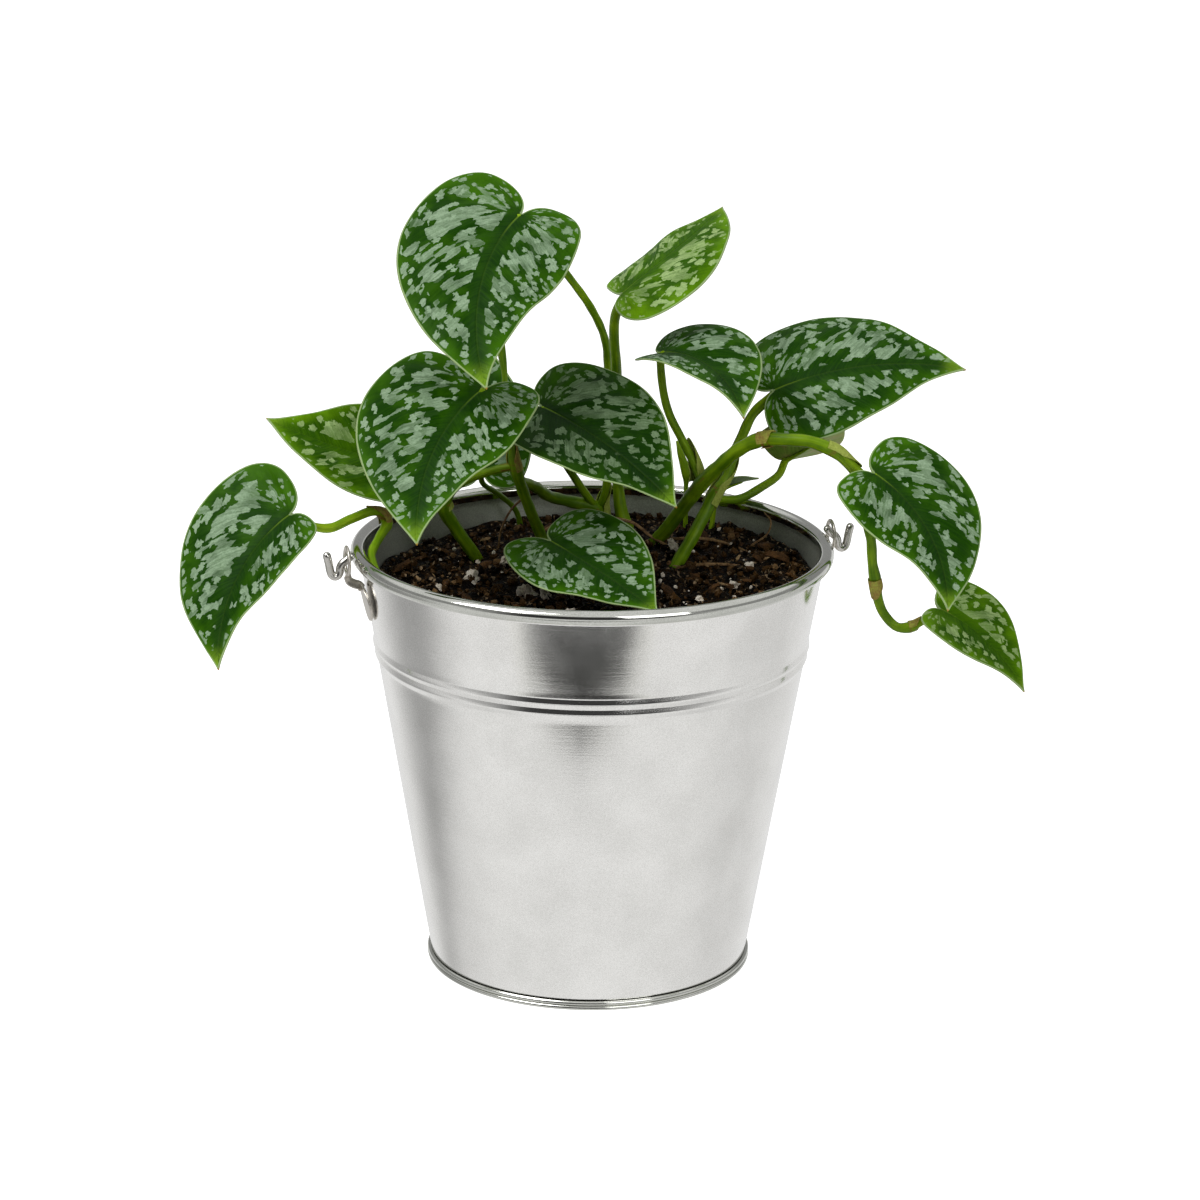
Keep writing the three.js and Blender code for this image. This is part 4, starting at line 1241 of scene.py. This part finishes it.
# Loose grains: name, material, first seed and number of shapes, their stretch and roughness; then
# count, reach and clearance, (smallest, spread, power) of the size, (share of the relief, lift,
# share of the size) of the height, and tilt in radians.
GRAINS = (
    ("soil_crumbs", crumb_dark, 0, 7, (1.0, 0.82, 0.75), 0.7,
     1300, 62.5, 1.5, (0.55, 1.35, 1.8), (0.35, 0, 0.45), 2),
    ("bark_chips", bark_brown, 20, 6, (1.7, 0.8, 0.42), 0.6,
     110, 60, 3.0, (0.8, 1.4, 1.6), (0, 0.8, 0.2), 0.7),
    ("wood_bits", wood_pale, 40, 5, (1.6, 0.45, 0.3), 0.6,
     90, 60, 2.5, (0.4, 0.9, 2), (0, 1.1, 0.2), 0.7),
    ("perlite_grains", perlite_white, 60, 5, (1.0, 0.9, 0.8), 0.5,
     90, 60, 2.5, (0.3, 0.6, 2), (0, 1.2, 0.3), 2),
)

# Larger white grains near the front: (x, y, size).
PERLITE_LUMPS = [(-35, 1, 2.2), (-18.7, -11.5, 2.7), (-13.5, -16.5, 2.1), (-26, 14, 1.5), (24, 25, 2.0),
                 (41, -8, 1.5), (31, -20, 1.3), (46, 8, 1.3), (-44, -8, 1.2), (12, -40, 1.3), (3, 28, 1.6),
                 (-6, -34, 1.4), (-30, -36, 1.5), (30, 33, 1.7)]


def make_crumbs():
    rng = random.Random(11)
    for name, material, seed, kinds, stretch, rough, count, reach, clear, sizes, rise, tilt in GRAINS:
        shapes = [pebble(seed + i, stretch, rough, 1) for i in range(kinds)]
        smallest, spread, power = sizes
        relief, lift, share = rise
        places = []
        for _ in range(count):
            x, y = on_soil(rng, reach, clear)
            size = smallest + spread * rng.random() ** power
            z = soil_height(x, y) + relief * lumps(x, y) + lift + share * size
            places.append(((x, y, z), any_turn(rng, tilt), size))
        scatter(name, shapes, places, material, 25)
    # the large white lumps have finer shapes, at listed places
    shapes = [pebble(80 + i, (1.0, 0.85, 0.7), 0.9, 3) for i in range(4)]
    places = [((x, y, soil_height(x, y) + 0.9), any_turn(rng, 2), size) for x, y, size in PERLITE_LUMPS]
    scatter("perlite_lumps", shapes, places, perlite_white, 60)


# ---- roots and husks ----
# Thin roots and fibres over the soil: points (x, y, z, radius).
ROOTS = [
    [(2, 48, 119, 0.55), (-6, 44, 121, 0.5), (-12, 38, 120.5, 0.45), (-18, 33, 117, 0.4),
     (-22, 30, 114, 0.3)],
    [(4, 50, 120, 0.5), (12, 42, 120.5, 0.5), (18, 33, 118.5, 0.45), (24, 26, 117.5, 0.4),
     (33, 24, 115.5, 0.3)],
    [(20, 32, 118, 0.5), (27, 29, 119.5, 0.5), (35, 30, 119, 0.45), (43, 27, 117.5, 0.4),
     (50, 20, 115.5, 0.3)],
    [(24, 12, 115, 0.5), (31, 8, 117.6, 0.5), (38, 8, 117.8, 0.45), (45, 12, 116, 0.35)],
    [(-20, 21, 134, 0.35), (-24, 25, 129, 0.35), (-27, 28, 122, 0.3), (-28, 30, 115, 0.25)],
    [(47, 27, 118, 0.35), (52, 30, 121, 0.3), (53, 33, 124, 0.26), (51, 36, 126, 0.2)],
]

# Dry husks and green sheaths at the nodes: (angle at the foot, share of the point, path).
NODE_HUSKS = [
    (300, 0.4, [(47, 2.6, 156.6, 2.45), (49.5, 1.4, 157.4, 2.35), (52, 0.3, 157.8, 2.2)]),
    (240, 0.65, [(82.6, 9.6, 114.4, 2.0), (83.2, 10.2, 111.5, 2.0), (84.2, 11, 107.5, 1.8)]),
    (250, 0.65, [(92.5, 12, 97.9, 1.8), (95, 12.2, 98.3, 1.8), (98, 12.8, 99.6, 1.4)]),
    (240, 0.65, [(-60.4, 12.6, 126.6, 1.95), (-61.2, 12.2, 130.5, 2.1), (-66, 9, 131.9, 1.8)]),
    (250, 0.65, [(-22.4, 19.6, 141.6, 2.2), (-23.4, 18.6, 146, 2.1), (-24.6, 17.8, 152, 1.4)]),
]
PETIOLE_SHEATHS = [
    (250, 0.65, [(66, -3.9, 157, 2.1), (70, -3.9, 155.3, 2.0), (74, -3.2, 151.5, 1.7),
                 (76.5, -3, 149.2, 1.5)]),
    (260, 0.65, [(30, 20, 137.5, 2.3), (30.6, 19.5, 142, 2.2), (28.5, 20, 148, 1.6),
                 (26.5, 20, 152, 1.4)]),
    (260, 0.65, [(33.8, 20, 131.5, 2.35), (36.6, 22.4, 136.5, 2.4), (40, 25, 142, 1.9),
                 (41.4, 26.4, 147, 1.7)]),
    (250, 0.65, [(3.4, 51, 119.5, 2.2), (3, 49.3, 125, 2.2), (4, 48, 131, 1.4)]),
    (200, 0.65, [(7.2, 51.6, 134, 1.8), (6.9, 50.6, 148, 1.85), (6.2, 47, 163, 1.8),
                 (6, 44.6, 172, 1.7)]),
    (250, 0.65, [(-42.6, 17, 130.6, 2.3), (-44.2, 14.8, 136, 2.3), (-45, 13, 141, 1.6)]),
]
FLARE = 0.35  # how far the tip of a husk stands off


def make_roots():
    roots = joined([rod(points, sides=10, spacing=1.0) for points in ROOTS])
    dress(roots, "surface_roots", [], [root_tan], 180)


def sheath(wide, tip_share, points):
    """A thin pointed husk wrapped half round a path; wide is its angle at the foot."""
    samples = path_samples(points, 0.6)[3:-1]
    axes = turning_axes(samples)
    last = len(samples) - 1
    obj = grid(last, 14)

    def wrap(x, y):
        i = round(x * last)
        share = i / last
        radius = points[0][3] * (1 - share) + points[-1][3] * share + FLARE * share
        spread = radians(wide) * (1 - max(0, share - (1 - tip_share)) / tip_share) ** 0.8
        return across_path(samples[i][0], axes[i], radius, radius, (y - 0.5) * spread)

    place_vertices(obj, wrap)
    merge_doubles(obj)
    thicken(obj, 0.22)
    apply_modifiers(obj)
    return obj


def make_sheaths(name, rows, material):
    dress(joined([sheath(*row) for row in rows]), name, [], [material])


# ---- build ----
make_pail_wall()
make_pail_base()
for side, turn in EAR_TURNS.items():
    make_ear(side, turn)
    make_hook(side, turn)
for number, (name, leaf) in enumerate(LEAVES.items()):
    make_leaf(name, leaf, number)
for name, runs in STEMS.items():
    make_stem(name, runs)
make_soil()
make_crumbs()
make_roots()
make_sheaths("node_husks", NODE_HUSKS, husk_tan)
make_sheaths("petiole_sheaths", PETIOLE_SHEATHS, husk_pale)


# ---- floor, light and camera: lengths in metres, card angles in radians ----
CARD_RADIUS = 0.36
CARD_MIDDLE = radians(-4.5)
CARD_HALF = radians(37)
CARD_TOP = -0.080
CARD_BOTTOM = -0.152
SOFTBOX_SIZE = 0.8
CAMERA_AT = (0, -1.1463, 0.4569)
CAMERA_TURNS = (0.0021, 0.2947, 0.0113)  # heading, tilt and roll in radians
LENS = 123.58  # millimetres


def put_on_stage(obj, name, material, hidden_from):
    """Sets up an object that is no part of the plant, hidden from some kinds of rays."""
    obj.name = name
    obj.data.materials.append(material)
    for ray in hidden_from:
        setattr(obj, "visible_" + ray, False)


def place_parts(place):
    node = Node(place.tree, "ShaderNodeSeparateXYZ", {0: place})
    return node[0], node[1], node[2]


def make_floor():
    floor = added(bpy.ops.mesh.primitive_plane_add, size=40, location=(0, 12, 0))
    apply_place(floor)
    material, place = surface("studio_floor")
    haze = cloud(place, (0.002, 0.002, 0.002), 1.0)[0]
    seen = Node(material.node_tree, "ShaderNodeLightPath")["Is Camera Ray"]
    finish(material, Base_Color=blend(haze, (0.90, 0.90, 0.90), (0.92, 0.92, 0.92)), Roughness=0.9,
           Specular_IOR_Level=0.1, Emission_Color=(1, 1, 1), Emission_Strength=seen * 0.8)
    put_on_stage(floor, "studio_floor", material, ("glossy",))


def make_card():
    """A dark curved card low in front that only reflections see, for the dark patch under the rim."""
    obj = grid(24, 14)
    for vertex in obj.data.vertices:
        share = 2 * vertex.co.x - 1
        sag = 1 - sqrt(max(0, 1 - abs(share) ** 1.6))
        low = CARD_BOTTOM + (CARD_TOP - CARD_BOTTOM) * sag
        angle = CARD_MIDDLE + CARD_HALF * share
        vertex.co = Vector((CARD_RADIUS * sin(angle), -CARD_RADIUS * cos(angle),
                            low + (CARD_TOP - low) * vertex.co.y))
    obj.data.update()
    material, place = surface("dark_card")
    cloth = cloud(place, (0.03, 0.03, 0.03))[0]
    x, y, z = place_parts(place)
    aside = calc("ABSOLUTE", calc("ARCTAN2", x, y * -1.0) - CARD_MIDDLE)
    low = ramp(z, CARD_BOTTOM / MM, CARD_TOP / MM, 1.0, 0.0, soft=False)
    aside = aside + cloth * 0.10 + calc("POWER", low, 3.0) * (CARD_HALF * 0.9)
    faded = ramp(aside, CARD_HALF * 0.60, CARD_HALF * 1.05, 0.0, 0.76)
    finish(material, Base_Color=blend(cloth, (0.02, 0.02, 0.018), (0.03, 0.03, 0.027)), Roughness=1.0,
           Specular_IOR_Level=0.0, Emission_Color=(1, 1, 0.97), Emission_Strength=faded)
    put_on_stage(obj, "dark_card", material, ("camera", "diffuse", "shadow", "transmission"))


def make_world():
    world = bpy.data.worlds.new("studio_light")
    bpy.context.scene.world = world
    world.use_nodes = True
    tree = world.node_tree
    x, y, z = place_parts(Node(tree, "ShaderNodeTexCoord")["Generated"])
    turn = calc("ARCTAN2", x, y * -1.0)
    # the dim room behind the camera
    front = ramp(calc("ABSOLUTE", turn), 0.5, 1.3, 1.0, 0.0)
    front = front * (ramp(z, -0.25, -0.12) * ramp(z, 0.45, 0.60, 1.0, 0.0)) * 0.95
    # dim strips to the left and the right, and a dim band all round above the horizon
    below = ramp(z, -0.1, 0.15, 1.0, 0.0)
    left = ramp(calc("ABSOLUTE", turn + 1.87), 0.05, 0.8, 0.55, 0.0) * below
    left = left * ramp(z, -0.56, -0.49, 0.2, 1.0)
    right = ramp(calc("ABSOLUTE", turn - 1.9), 0.1, 0.9, 0.14, 0.0) * below
    back = ramp(z, 0.0, 0.12) * ramp(z, 0.45, 0.6, 1.0, 0.0) * 0.6
    dim = calc("MAXIMUM", front, calc("MAXIMUM", calc("MAXIMUM", left, right), back))
    # matt surfaces get less of it, and the camera sees white
    rays = Node(tree, "ShaderNodeLightPath")
    light = (1.0 - dim) * (1.0 - rays["Is Diffuse Ray"] * 0.45)
    light = calc("MAXIMUM", light, rays["Is Camera Ray"] * 1.4)
    colour = Node(tree, "ShaderNodeCombineColor", {0: light, 1: light, 2: light})[0]
    sky = tree.nodes["Background"]
    feed(tree, colour, sky.inputs["Color"])
    feed(tree, 0.78, sky.inputs["Strength"])


def softbox(name, at, aim, power):
    bpy.ops.object.light_add(type="AREA", location=at)
    lamp = bpy.context.object
    lamp.name = name
    lamp.data.shape = "RECTANGLE"
    lamp.data.size = SOFTBOX_SIZE
    lamp.data.size_y = SOFTBOX_SIZE
    lamp.data.energy = power
    lamp.rotation_euler = (Vector(aim) - Vector(at)).to_track_quat("-Z", "Y").to_euler()


def make_camera():
    turn, tilt, roll = CAMERA_TURNS
    ahead = Vector((sin(turn) * cos(tilt), cos(turn) * cos(tilt), -sin(tilt)))
    right = Vector((cos(turn), -sin(turn), 0))
    up = right.cross(ahead)
    across = right * cos(roll) + up * sin(roll)
    upward = up * cos(roll) - right * sin(roll)
    data = bpy.data.cameras.new("studio_camera")
    data.sensor_width = 36
    data.lens = LENS
    camera = bpy.data.objects.new("studio_camera", data)
    bpy.context.scene.collection.objects.link(camera)
    camera.matrix_world = Matrix.Translation(Vector(CAMERA_AT)) @ axes_matrix(across, upward, -ahead)
    bpy.context.scene.camera = camera


make_floor()
make_card()
make_world()
softbox("softbox_key", (-0.75, -0.5, 1.25), (0, 0, 0.1), 12)
softbox("softbox_fill", (0.7, -1.2, 0.75), (0, 0, 0.15), 6)
make_camera()
bpy.context.scene.view_settings.view_transform = "Standard"
